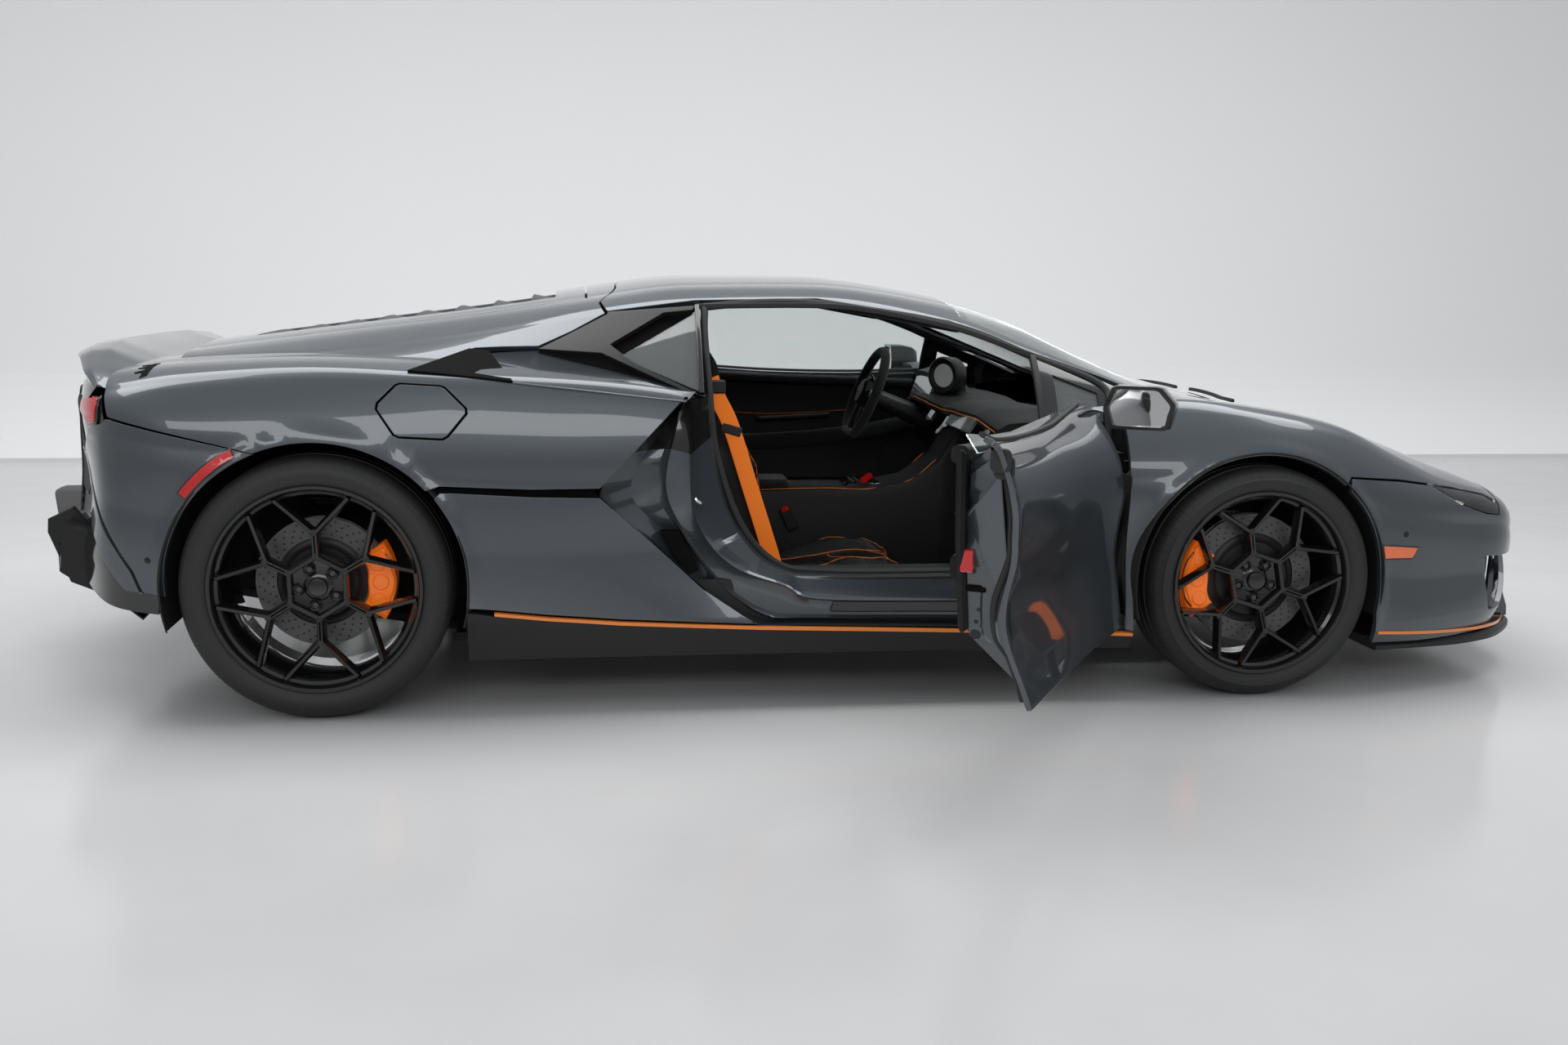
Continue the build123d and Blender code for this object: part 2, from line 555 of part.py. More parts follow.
def wishbone(x, z_inner, z_outer, inner_y, outer_y, spread):
    """One wishbone of the left side: its pivot along the rail, two arms and the ball at the upright."""
    pivot_y = inner_y + seat_gap + arm
    front, rear = (x + spread, pivot_y, z_inner), (x - spread, pivot_y, z_inner)
    tip = (x, outer_y, z_outer)
    return bar(front, rear, arm) + bar(front, tip, arm) + bar(rear, tip, arm) + Pos(*tip) * Sphere(ball)


def upright(x, y, axle_z, reach):
    """The upright between the two ball joints, with the stub axle that carries the wheel."""
    half = reach - ball - seat_gap
    body = block(x - upright_half, x + upright_half, y - 12, y + 12, axle_z - half, axle_z + half)
    return body + across(x, axle_z, axle_radius, y - 12, y + 39)


def caliper(x, y, axle_z, disc, towards, bracket_y):
    """A caliper over the disc's edge, on the side of the axle that towards gives, with its bracket."""
    ring = across(x, axle_z, disc + 25, y + disc_span[0] - 22, y + disc_span[1] + 22) - across(
        x, axle_z, disc - 62, y - 100, y + 100)
    ring = ring - across(x, axle_z, disc + 6, y + disc_span[0] - 5, y + disc_span[1] + 5)
    pads = ring & block(x + towards * (disc - 95), x + towards * (disc + 30), y - 100, y + 100,
                        axle_z - 105, axle_z + 105)
    bracket = block(x + towards * (upright_half + seat_gap), x + towards * (disc - 50),
                    bracket_y - 8, y + disc_span[0] - 12, axle_z - 40, axle_z + 40)
    return pads + bracket


front_disc, rear_disc = AXLES["front"][5], AXLES["rear"][5]
front_arms = wishbone(front_axle, 205, front_tyre_radius - joint_reach, rail_y + 15, king_y, 140) \
    + wishbone(front_axle, 470, front_tyre_radius + joint_reach, rail_y + 15, king_y, 110)
save("suspension_front", *both(front_arms))
knuckle = upright(front_axle, king_y, front_tyre_radius, joint_reach)
save("knuckle_front_left", knuckle)
save("knuckle_front_right", flipped(knuckle))
front_caliper = caliper(front_axle, front_track / 2, front_tyre_radius, front_disc, -1, king_y)
save("caliper_front_left", front_caliper)
save("caliper_front_right", flipped(front_caliper))

pivot_y = rear_rail_y + 30
rear_arms = wishbone(rear_axle, 320, rear_tyre_radius - joint_reach, pivot_y, rear_upright_y, 140) \
    + wishbone(rear_axle, 520, rear_tyre_radius + joint_reach, pivot_y, rear_upright_y, 110) \
    + upright(rear_axle, rear_upright_y, rear_tyre_radius, joint_reach) \
    + block(rear_axle - 10, rear_axle + 10, rear_upright_y - 10, rear_upright_y + 10, 210, 510) \
    + bar((rear_axle, 200 + seat_gap, rear_tyre_radius), (rear_axle, rear_upright_y, rear_tyre_radius), 18)
save("suspension_rear", *both(rear_arms))
rear_caliper = caliper(rear_axle, rear_track / 2, rear_tyre_radius, rear_disc, 1, rear_upright_y)
save("calipers_rear", *both(rear_caliper))

# ---------------------------------------------------------------- splitter, diffuser and spoiler
splitter_start, splitter_foot = 1720.0, 118.0
splitter = plan_pair(SPLITTER, splitter_foot, floor_z - seat_gap)
save("splitter", splitter & block(splitter_start, nose, -FAR, FAR, 0, FAR))
FIN = [(-1716, 240), (-1994, 335), (-2190, 450), (-2150, 340), (-1994, 262), (-1716, 205)]
fin = side_prism(FIN, -6, 6)
diffuser_side = [(-1690, 215), (-1994, 318), (tail, 490), (tail, 535), (-2050, 535), (-1690, 400)]
diffuser = side_prism(diffuser_side, -FAR, FAR) & plan_pair(DIFFUSER, 0, FAR)
diffuser = diffuser - lofted(BODY, body_half, -seat_gap)
for y in (-480, -240, 0, 240, 480):
    diffuser = diffuser + Pos(0, y, 0) * fin
save("diffuser", diffuser)
spoiler_side = [(-1780, 895), (-1950, 992), (-2110, 955), (-2110, 930), (-2000, 850)]
spoiler = side_prism(spoiler_side, -FAR, FAR) & plan_pair(SPOILER, 0, FAR)
save("spoiler", spoiler - lofted(BODY, body_half, -seam) - cabin_clear)
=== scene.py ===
"""A mid-engined two-seat supercar, dressed around its CAD model. Metres; +X forwards, +Y left, +Z up."""

import bpy
import bmesh
import json
import math
import numpy as np
from mathutils import Matrix, Vector, geometry
from mathutils.bvhtree import BVHTree

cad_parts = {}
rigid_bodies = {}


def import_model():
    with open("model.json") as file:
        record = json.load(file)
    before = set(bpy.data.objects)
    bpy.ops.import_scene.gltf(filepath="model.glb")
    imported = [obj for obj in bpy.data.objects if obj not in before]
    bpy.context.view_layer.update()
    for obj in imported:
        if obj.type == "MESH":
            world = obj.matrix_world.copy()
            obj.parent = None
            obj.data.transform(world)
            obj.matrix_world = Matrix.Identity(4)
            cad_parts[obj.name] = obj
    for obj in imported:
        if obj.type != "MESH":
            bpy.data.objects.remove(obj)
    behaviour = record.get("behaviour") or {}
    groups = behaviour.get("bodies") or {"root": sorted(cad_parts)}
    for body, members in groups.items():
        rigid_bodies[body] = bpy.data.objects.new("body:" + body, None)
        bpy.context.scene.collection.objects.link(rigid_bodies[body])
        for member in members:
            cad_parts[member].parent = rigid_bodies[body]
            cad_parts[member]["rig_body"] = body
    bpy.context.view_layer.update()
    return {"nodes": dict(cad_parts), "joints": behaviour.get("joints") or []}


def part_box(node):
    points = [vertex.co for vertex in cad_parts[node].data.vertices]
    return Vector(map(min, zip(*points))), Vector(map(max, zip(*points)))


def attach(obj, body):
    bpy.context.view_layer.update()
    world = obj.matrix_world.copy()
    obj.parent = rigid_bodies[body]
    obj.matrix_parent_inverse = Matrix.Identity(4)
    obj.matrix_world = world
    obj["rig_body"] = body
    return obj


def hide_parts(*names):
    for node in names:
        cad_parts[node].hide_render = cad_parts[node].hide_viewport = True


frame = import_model()
scene = bpy.context.scene
scene.view_settings.view_transform = "Standard"

# ---------------------------------------------------------------- studio
# A pale floor and wall with soft ceiling light, and the camera on the car's right-hand side, a little
# behind the doors and at head height.
camera_place = Vector((-0.6304, -5.0933, 1.2102))
camera_yaw, camera_pitch, camera_roll = 0.1347, 0.1621, 0.0133
camera_lens = 35.06
camera_data = bpy.data.cameras.new("camera")
camera_data.lens = camera_lens
camera_data.sensor_width = 36.0
camera_data.clip_end = 100
camera = bpy.data.objects.new("camera", camera_data)
scene.collection.objects.link(camera)
camera.matrix_world = (Matrix.Translation(camera_place) @ Matrix.Rotation(-camera_yaw, 4, "Z")
    @ Matrix.Rotation(math.pi / 2 - camera_pitch, 4, "X") @ Matrix.Rotation(camera_roll, 4, "Z"))
scene.camera = camera


def operator(operation, swapped=False):
    """A method of a socket that adds one Math node."""
    def method(self, other=0.0):
        return self.math(operation, *((other, self) if swapped else (self, other)))
    return method


class Sock:
    """A node socket that takes part in sums."""

    def __init__(self, nodes, socket):
        self.nodes, self.socket = nodes, socket

    def math(self, operation, a, b=0.0):
        return self.nodes.add("ShaderNodeMath", {"operation": operation}, {0: a, 1: b})[0]

    __add__ = __radd__ = operator("ADD")
    __mul__ = __rmul__ = operator("MULTIPLY")
    __sub__, __rsub__ = operator("SUBTRACT"), operator("SUBTRACT", True)
    __truediv__, __rtruediv__ = operator("DIVIDE"), operator("DIVIDE", True)
    __pow__, __gt__, __lt__ = operator("POWER"), operator("GREATER_THAN"), operator("LESS_THAN")
    sin, abs, frac = operator("SINE"), operator("ABSOLUTE"), operator("FRACT")


class Nodes:
    """The node tree of one material or world."""

    def __init__(self, tree):
        self.tree = tree
        tree.nodes.clear()

    def add(self, kind, settings=(), values=()):
        """A node with its settings, then its sockets' values or links; returns its outputs."""
        node = self.tree.nodes.new(kind)
        for key, value in dict(settings).items():
            if key == "stops":
                ramp = node.color_ramp
                while len(ramp.elements) < len(value):
                    ramp.elements.new(0.5)
                for element, (place, colour) in zip(ramp.elements, value):
                    element.position = place
                    element.color = colour
            else:
                setattr(node, key, value)
        for key, value in dict(values).items():
            if isinstance(value, Sock):
                self.tree.links.new(value.socket, node.inputs[key])
            else:
                node.inputs[key].default_value = value
        return [Sock(self, s) for s in node.outputs]

    def place(self):
        """The point in the object's own frame."""
        return self.add("ShaderNodeTexCoord")[3]

    def split(self, vector):
        return self.add("ShaderNodeSeparateXYZ", (), {0: vector})

    def scaled(self, vector, scale):
        return self.add("ShaderNodeVectorMath", {"operation": "MULTIPLY"}, {0: vector, 1: scale})[0]

    def noise(self, scale, detail=2.0, vector=None, rough=0.5):
        vector = vector or self.place()
        return self.add("ShaderNodeTexNoise", (), {"Vector": vector, "Scale": scale, "Detail": detail,
                                                   "Roughness": rough})[0]

    def cells(self, scale, feature="F1", vector=None, output=0):
        vector = vector or self.place()
        return self.add("ShaderNodeTexVoronoi", {"feature": feature},
            {"Vector": vector, "Scale": scale})[output]

    def mix(self, factor, a, b):
        """A colour between a and b."""
        return self.add("ShaderNodeMix", {"data_type": "RGBA"}, {0: factor, 6: a, 7: b})[2]

    def step(self, value, low, high):
        """0 below low, 1 above high, smooth between."""
        return self.add("ShaderNodeMapRange", {"interpolation_type": "SMOOTHSTEP"},
                        {0: value, 1: low, 2: high, 3: 0.0, 4: 1.0})[0]

    def bump(self, height, distance, strength=1.0):
        return self.add("ShaderNodeBump", (),
            {"Height": height, "Distance": distance, "Strength": strength})[0]

    def surface(self, **values):
        """The Principled shader and its output."""
        values = {key.replace("_", " "): value for key, value in values.items()}
        shader = self.add("ShaderNodeBsdfPrincipled", (), values)[0]
        self.add("ShaderNodeOutputMaterial", (), {0: shader})


slots = {}


def material(name, slot=None):
    """An empty material and its nodes, with the record's slot noted against its name."""
    made = bpy.data.materials.new(name)
    made.use_nodes = True
    slots[name] = slot
    return made, Nodes(made.node_tree)


def grey(value, alpha=1.0):
    return (value, value, value, alpha)


def grained(name, slot, scale, detail, dark, light, rough, vary=0.0, bump=None, **more):
    """A material whose colour, roughness and height follow one fine noise."""
    made, n = material(name, slot)
    grain = n.noise(scale, detail)
    if bump:
        more["Normal"] = n.bump(grain, *bump)
    n.surface(Base_Color=n.mix(grain, dark, light), Roughness=grain * vary + rough if vary else rough, **more)
    return made


floor_matter = grained("pale_floor", None, 3.0, 4.0, grey(0.57), grey(0.62), 0.14, 0.06, IOR=1.45)
wall_matter = grained("pale_wall", None, 0.5, 2.0, grey(0.93), grey(0.96), 0.9)

floor_half, wall_place, wall_height, cove = 14.0, 5.2, 9.0, 0.6
profile = [(-floor_half, 0.0)] + [(wall_place - cove + cove * math.sin(a), cove - cove * math.cos(a))
    for a in np.linspace(0, math.pi / 2, 12)] + [(wall_place, wall_height)]
mesh = bpy.data.meshes.new("backdrop")
mesh.from_pydata([(s * floor_half, y, z) for y, z in profile for s in (-1, 1)], [],
                 [(2 * i, 2 * i + 1, 2 * i + 3, 2 * i + 2) for i in range(len(profile) - 1)])
mesh.materials.append(floor_matter)
mesh.materials.append(wall_matter)
for face in mesh.polygons:
    face.material_index = int(face.center.z > 0.02)
backdrop = bpy.data.objects.new("backdrop", mesh)
scene.collection.objects.link(backdrop)
backdrop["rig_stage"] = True

world = bpy.data.worlds.new("studio")
scene.world = world
world.use_nodes = True
n = Nodes(world.node_tree)
height = n.split(n.add("ShaderNodeTexCoord")[0])[2]
sky = n.mix(n.step(height, -0.1, 0.7), grey(0.55), (0.93, 0.96, 1.0, 1.0))
n.add("ShaderNodeOutputWorld", (), {0: n.add("ShaderNodeBackground", (), {0: sky, 1: 0.62})[0]})


def lamp(name, place, target, size, power):
    """A soft rectangular ceiling or side lamp."""
    data = bpy.data.lights.new(name, "AREA")
    data.shape = "RECTANGLE"
    data.size, data.size_y = size
    data.energy = power
    made = bpy.data.objects.new(name, data)
    scene.collection.objects.link(made)
    made.location = place
    made.rotation_euler = (Vector(target) - Vector(place)).to_track_quat("-Z", "Y").to_euler()


lamp("ceiling_lamp", (0, 0.2, 4.2), (0, 0.2, 0), (9.0, 2.4), 250)
lamp("right_lamp", (-1.0, -7.5, 3.4), (0, 0, 0.4), (8.0, 1.4), 110)

# ---------------------------------------------------------------- outer skin
# The painted shell of the car, pressed and laid up in panels that meet at fine shut lines. One smooth
# surface carries them all: its cross sections run from the floor's edge up to the centre line.
joint_at = {j["name"]: Vector(j["pos_m"]) for j in frame["joints"]}
front_x = joint_at["wheel_front_right_spin"].x
rear_x = joint_at["wheel_rear_right_spin"].x
half_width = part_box("quarter_left")[1].y
nose_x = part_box("front_bumper")[1].x
tail_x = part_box("rear_bumper")[0].x
roof_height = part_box("roof_frame")[1].z
cowl = front_x + 0.171
low_z = 0.147
front_arch = (front_x, 0.340, 0.370)        # centre x, centre z, radius
rear_arch = (rear_x, 0.360, 0.392)

# x, then (inset from half_width, z) of floor edge, sill, waist, shoulder, ridge, deck edge; then centre z
BODY = [
    (nose_x, (.748, .400), (.728, .405), (.708, .410), (.698, .418), (.708, .430), (.798, .440), .445),
    (nose_x - .090, (.458, .385), (.438, .390), (.418, .396), (.408, .420), (.438, .470), (.598, .500), .508),
    (front_x + .871, (.238, .150), (.198, .215), (.198, .330), (.198, .480), (.258, .560), (.478, .582), .590),
    (front_x + .671, (.118, .148), (.098, .200), (.118, .330), (.118, .500), (.148, .595), (.378, .655), .662),
    (front_x + .471, (.058, low_z), (.038, .190), (.058, .330), (.053, .530), (.123, .680), (.348, .728), .725),
    (front_x + .271, (.048, low_z), (.013, .188), (.023, .400), (.023, .610), (.113, .778), (.338, .790), .772),
    (front_x, (.048, low_z), (.010, .190), (.012, .450), (.012, .690), (.118, .836), (.328, .832), .800),
    (front_x - .229, (.048, low_z), (.013, .195), (.028, .430), (.023, .650), (.148, .862), (.318, .845), .815),
    (front_x - .400, (.048, low_z), (.030, .200), (.068, .430), (.034, .640), (.152, .850), (.288, .830), .815),
    (.400, (.063, low_z), (.043, .215), (.118, .440), (.073, .630), (.146, .835), (.288, .825), .815),
    (-.200, (.063, low_z), (.038, .238), (.118, .450), (.063, .640), (.126, .856), (.288, .850), .850),
    (-.345, (.060, low_z), (.036, .243), (.078, .450), (.048, .640), (.092, .880), (.288, .905), .905),
    (rear_x + .729, (.058, low_z), (.033, .258), (.043, .450), (.033, .615), (.088, .906), (.278, .940), .940),
    (rear_x + .329, (.048, low_z), (.013, .286), (.010, .450), (.008, .630), (.068, .926), (.258, .962), .962),
    (rear_x, (.048, .200), (.008, .330), (.003, .500), (.000, .700), (.078, .942), (.248, .968), .968),
    (rear_x - .371, (.068, .275), (.033, .400), (.028, .550), (.023, .740), (.098, .916), (.248, .950), .950),
    (rear_x - .551, (.098, .300), (.078, .420), (.073, .580), (.098, .790), (.128, .880), (.268, .930), .930),
    (rear_x - .661, (.258, .345), (.258, .440), (.398, .590), (.298, .760), (.308, .870), (.398, .915), .915),
    (tail_x + .065, (.438, .385), (.438, .440), (.618, .590), (.518, .770), (.548, .850), (.598, .885), .885),
    (tail_x, (.698, .420), (.698, .450), (.748, .590), (.748, .770), (.758, .830), (.798, .850), .850),
]
# x, then (y, z) of the greenhouse's base, rail and upper edge; then how far its crown lies under the roof
CABIN = [
    (cowl, (.620, .780), (.560, .800), (.400, .806), .390),
    (1.150, (.770, .800), (.745, .832), (.450, .880), .302),
    (.934, (.800, .790), (.727, .908), (.470, .962), .216),
    (.704, (.830, .790), (.688, .986), (.480, 1.062), .115),
    (.458, (.840, .790), (.650, 1.076), (.490, 1.126), .046),
    (.064, (.850, .800), (.618, 1.136), (.480, 1.174), .000),
    (-.307, (.860, .820), (.608, 1.127), (.470, 1.168), .004),
    (-.590, (.860, .850), (.600, 1.098), (.450, 1.130), .040),
    (-.900, (.830, .870), (.610, 1.032), (.430, 1.084), .092),
    (rear_x, (.770, .900), (.640, .975), (.440, 1.026), .156),
    (rear_x - .421, (.700, .890), (.600, .950), (.440, .968), .218),
]
SKIN_STEP = 0.005
T_PER_SPAN = 40


def eased_rows(places, values, at):
    """Values between the rows along a monotone cubic, so that no row shows as a kink."""
    order = np.argsort(places)
    x, y = places[order], values[order]
    h = np.diff(x)[:, None]
    d = np.diff(y, axis=0) / h
    m = np.zeros_like(y)
    same = d[:-1] * d[1:] > 0
    mean = 3 * (h[:-1] + h[1:]) / np.where(same, (2 * h[1:] + h[:-1]) / np.where(same, d[:-1], 1)
        + (h[1:] + 2 * h[:-1]) / np.where(same, d[1:], 1), 1)
    m[1:-1] = np.where(same, mean, 0)
    m[0], m[-1] = d[0], d[-1]
    i = np.clip(np.searchsorted(x, at) - 1, 0, len(x) - 2)
    s = ((at - x[i]) / (x[i + 1] - x[i]))[:, None]
    width = (x[i + 1] - x[i])[:, None]
    return ((1 + 2 * s) * (1 - s) ** 2 * y[i] + s * (1 - s) ** 2 * width * m[i]
            + s ** 2 * (3 - 2 * s) * y[i + 1] + s ** 2 * (s - 1) * width * m[i + 1])


def smoothed(values, sigma):
    """A moving average along the first axis that keeps both ends where they are."""
    reach = max(1, int(3 * sigma))
    weights = np.exp(-0.5 * (np.arange(-reach, reach + 1) / sigma) ** 2)
    weights /= weights.sum()
    padded = np.concatenate([2 * values[:1] - values[reach:0:-1], values,
        2 * values[-1:] - values[-2:-reach - 2:-1]])
    return sum(w * padded[i:i + len(values)] for i, w in enumerate(weights))


class Skin:
    """A sheet drawn by cross sections. A point on it is (x, t), where t counts the corners of a section."""

    def __init__(self, rows, rounding, bulge, relief=None, smooth=0.035, side=(0.5, 4.0), plan=(4.0, 6.0)):
        self.side, self.plan = side, plan
        places = np.array([row[0] for row in rows])
        corners = np.array([row[1] for row in rows], float)
        self.x = np.arange(places.min(), places.max() + SKIN_STEP / 2, SKIN_STEP)
        flat = eased_rows(places, corners.reshape(len(rows), -1), self.x)
        flat = smoothed(flat, smooth / SKIN_STEP)
        corners = flat.reshape(len(self.x), -1, 2)
        spans = corners.shape[1] - 1
        self.spans = spans
        self.t = np.linspace(0, spans, spans * T_PER_SPAN + 1)
        length = np.linalg.norm(np.diff(corners, axis=1), axis=2) + 1e-9
        points = np.zeros((len(self.x), len(self.t), 2))
        for j, t in enumerate(self.t):
            span = min(int(t), spans - 1)
            u = t - span
            a, b = corners[:, span], corners[:, span + 1]
            point = a * (1 - u) + b * u
            near = int(round(t))
            if 0 < near < spans:
                before = np.minimum(rounding[near] / length[:, near - 1], 0.5)
                after = np.minimum(rounding[near] / length[:, near], 0.5)
                w = t - near
                inside = (w > -before) & (w < after)
                s = ((w + before) / (before + after))[:, None]
                corner = corners[:, near]
                p0 = corner + before[:, None] * (corners[:, near - 1] - corner)
                p2 = corner + after[:, None] * (corners[:, near + 1] - corner)
                bend = (1 - s) ** 2 * p0 + 2 * s * (1 - s) * corner + s ** 2 * p2
                point = np.where(inside[:, None], bend, point)
            out = np.stack([(b - a)[:, 1], -(b - a)[:, 0]], 1) / length[:, span][:, None]
            points[:, j] = point + out * (bulge[span] * (4 * u * (1 - u)) ** 1.5)
        self.p = np.concatenate([np.broadcast_to(self.x[:, None, None], points.shape[:2] + (1,)), points], 2)
        self.n = self.normals()
        if relief:
            self.p = self.p + self.n * relief(self.p)[..., None]
            self.n = self.normals()
        self.l = np.concatenate([np.zeros((len(self.x), 1)), np.cumsum(
            np.linalg.norm(np.diff(self.p[..., 1:], axis=1), axis=2), axis=1)], 1)
        self.l -= self.l[:, [3 * T_PER_SPAN if spans > 3 else T_PER_SPAN]]

    def normals(self):
        along = np.gradient(self.p, axis=0)
        round_it = np.gradient(self.p, axis=1)
        n = np.cross(round_it, along)
        return n / (np.linalg.norm(n, axis=2, keepdims=True) + 1e-12)

    def row(self, field, x):
        i = np.clip((x - self.x[0]) / SKIN_STEP, 0, len(self.x) - 1.001)
        f = i - int(i)
        return field[int(i)] * (1 - f) + field[int(i) + 1] * f

    def at(self, x, t, field=None):
        """The points or normals at many (x, t)."""
        field = self.p if field is None else field
        i = np.clip((np.asarray(x) - self.x[0]) / SKIN_STEP, 0, len(self.x) - 1.001)
        j = np.clip(np.asarray(t) * T_PER_SPAN, 0, len(self.t) - 1.001)
        i0, j0 = i.astype(int), j.astype(int)
        fi, fj = (i - i0)[..., None], (j - j0)[..., None]
        return ((field[i0, j0] * (1 - fj) + field[i0, j0 + 1] * fj) * (1 - fi)
                + (field[i0 + 1, j0] * (1 - fj) + field[i0 + 1, j0 + 1] * fj) * fi)

    def t_side(self, x, z):
        """t of the point seen at (x, z) from the side."""
        keep = (self.t >= self.side[0]) & (self.t <= self.side[1])
        return np.interp(z, np.maximum.accumulate(self.row(self.p, x)[keep, 2]), self.t[keep])

    def t_plan(self, x, y):
        """t of the point seen at (x, y) from above."""
        keep = (self.t >= self.plan[0]) & (self.t <= self.plan[1])
        return np.interp(-y, np.maximum.accumulate(-self.row(self.p, x)[keep, 1]), self.t[keep])

    def path(self, points, step=0.012):
        """(x, t) along straight lines between points ("side", x, z), ("plan", x, y) or ("t", x, t)."""
        found = []
        for (kind, x0, v0), (kind1, x1, v1) in zip(points, points[1:] + points[:1]):
            if kind == kind1:
                rise = (v1 - v0) * (1 if kind != "t" else 0.2)
                count = max(1, int(np.ceil(math.hypot(x1 - x0, rise) / step)))
                for s in np.arange(count) / count:
                    found.append(self.to_t(kind, x0 + s * (x1 - x0), v0 + s * (v1 - v0)))
            else:
                a, b = self.to_t(kind, x0, v0), self.to_t(kind1, x1, v1)
                count = max(1, int(np.ceil(math.hypot(b[0] - a[0], (b[1] - a[1]) * 0.2) / step)))
                for s in np.arange(count) / count:
                    found.append((a[0] + s * (b[0] - a[0]), a[1] + s * (b[1] - a[1])))
        return found

    def to_t(self, kind, x, v):
        return (x, {"side": self.t_side, "plan": self.t_plan}[kind](x, v) if kind != "t" else v)

    def chart(self, points):
        return np.array([(x, np.interp(t, self.t, self.row(self.l, x))) for x, t in points])

    def unchart(self, points):
        return np.array([(x, np.interp(l, self.row(self.l, x), self.t)) for x, l in points])


def inside(points, loop):
    """Which points lie in a closed loop."""
    a, b = loop, np.roll(loop, -1, axis=0)
    px, py = points[:, 0][:, None], points[:, 1][:, None]
    cross = ((a[:, 1] > py) != (b[:, 1] > py)) & (px < (b[:, 0] - a[:, 0]) * (py - a[:, 1])
        / np.where(a[:, 1] == b[:, 1], 1e-12, b[:, 1] - a[:, 1]) + a[:, 0])
    return cross.sum(1) % 2 == 1


def edge_distance(points, loop):
    """How far each point lies from a closed loop."""
    a, b = loop, np.roll(loop, -1, axis=0)
    d = b - a
    s = np.clip(((points[:, None] - a) * d).sum(2) / np.maximum((d * d).sum(1), 1e-12), 0, 1)
    return np.linalg.norm(points[:, None] - (a + s[..., None] * d), axis=2).min(1)


def drawn_in(loop, distance):
    """The loop moved inwards."""
    area = 0.5 * np.sum(loop[:, 0] * np.roll(loop[:, 1], -1) - np.roll(loop[:, 0], -1) * loop[:, 1])
    if area < 0:
        loop = loop[::-1]
    before, after = loop - np.roll(loop, 1, axis=0), np.roll(loop, -1, axis=0) - loop
    normals = []
    for d in (before, after):
        d = d / np.maximum(np.linalg.norm(d, axis=1, keepdims=True), 1e-9)
        normals.append(np.stack([-d[:, 1], d[:, 0]], 1))
    mid = normals[0] + normals[1]
    scale = np.maximum((mid * normals[0]).sum(1, keepdims=True), 0.5)
    return loop + mid / scale * distance


sharp_angle = 34.0


class Shell:
    """Points, normals and faces of a piece before it becomes an object. Without normals, its faces turn
    outwards and its corners stay sharp past a certain angle."""

    def __init__(self, points, normals, faces):
        self.points, self.faces = np.array(points, float), faces
        self.normals = None if normals is None else np.array(normals, float)

    def mirrored(self):
        flip = np.array([1.0, -1.0, 1.0])
        return Shell(self.points * flip, None if self.normals is None else self.normals * flip,
                     [tuple(reversed(f)) for f in self.faces])

    def moved(self, matrix):
        m = np.array(matrix)
        return Shell(self.points @ m[:3, :3].T + m[:3, 3],
                     None if self.normals is None else self.normals @ m[:3, :3].T, self.faces)

    def __add__(self, other):
        count = len(self.points)
        normals = None if self.normals is None else np.concatenate([self.normals, other.normals])
        return Shell(np.concatenate([self.points, other.points]), normals,
                     list(self.faces) + [tuple(i + count for i in f) for f in other.faces])

    def piece(self, name, matter, *nodes, body="body_shell", slot=None):
        """The Blender object, riding on its body and standing for its CAD nodes."""
        mesh = bpy.data.meshes.new(name)
        mesh.from_pydata(self.points.tolist(), [], self.faces)
        mesh.polygons.foreach_set("use_smooth", [True] * len(mesh.polygons))
        if self.normals is None:
            work = bmesh.new()
            work.from_mesh(mesh)
            bmesh.ops.recalc_face_normals(work, faces=work.faces)
            work.to_mesh(mesh)
            work.free()
            mesh.set_sharp_from_angle(angle=math.radians(sharp_angle))
        else:
            mesh.normals_split_custom_set_from_vertices(self.normals.tolist())
        mesh.materials.append(matter)
        made = bpy.data.objects.new(name, mesh)
        scene.collection.objects.link(made)
        return settled(made, body, slots[matter.name] if slot is None else slot, *nodes)


def joined(shells):
    """Several shells as one."""
    first, *others = shells
    return sum(others, first)


def settled(made, body, slot, *nodes):
    """Rides a piece on its body and hides the CAD nodes it stands for."""
    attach(made, body)
    if nodes:
        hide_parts(*nodes)
    return made


T_FINE = np.array([0.0, 0.04, 0.1, 0.2, 0.35, 0.5, 0.65, 0.8, 0.9, 0.96])


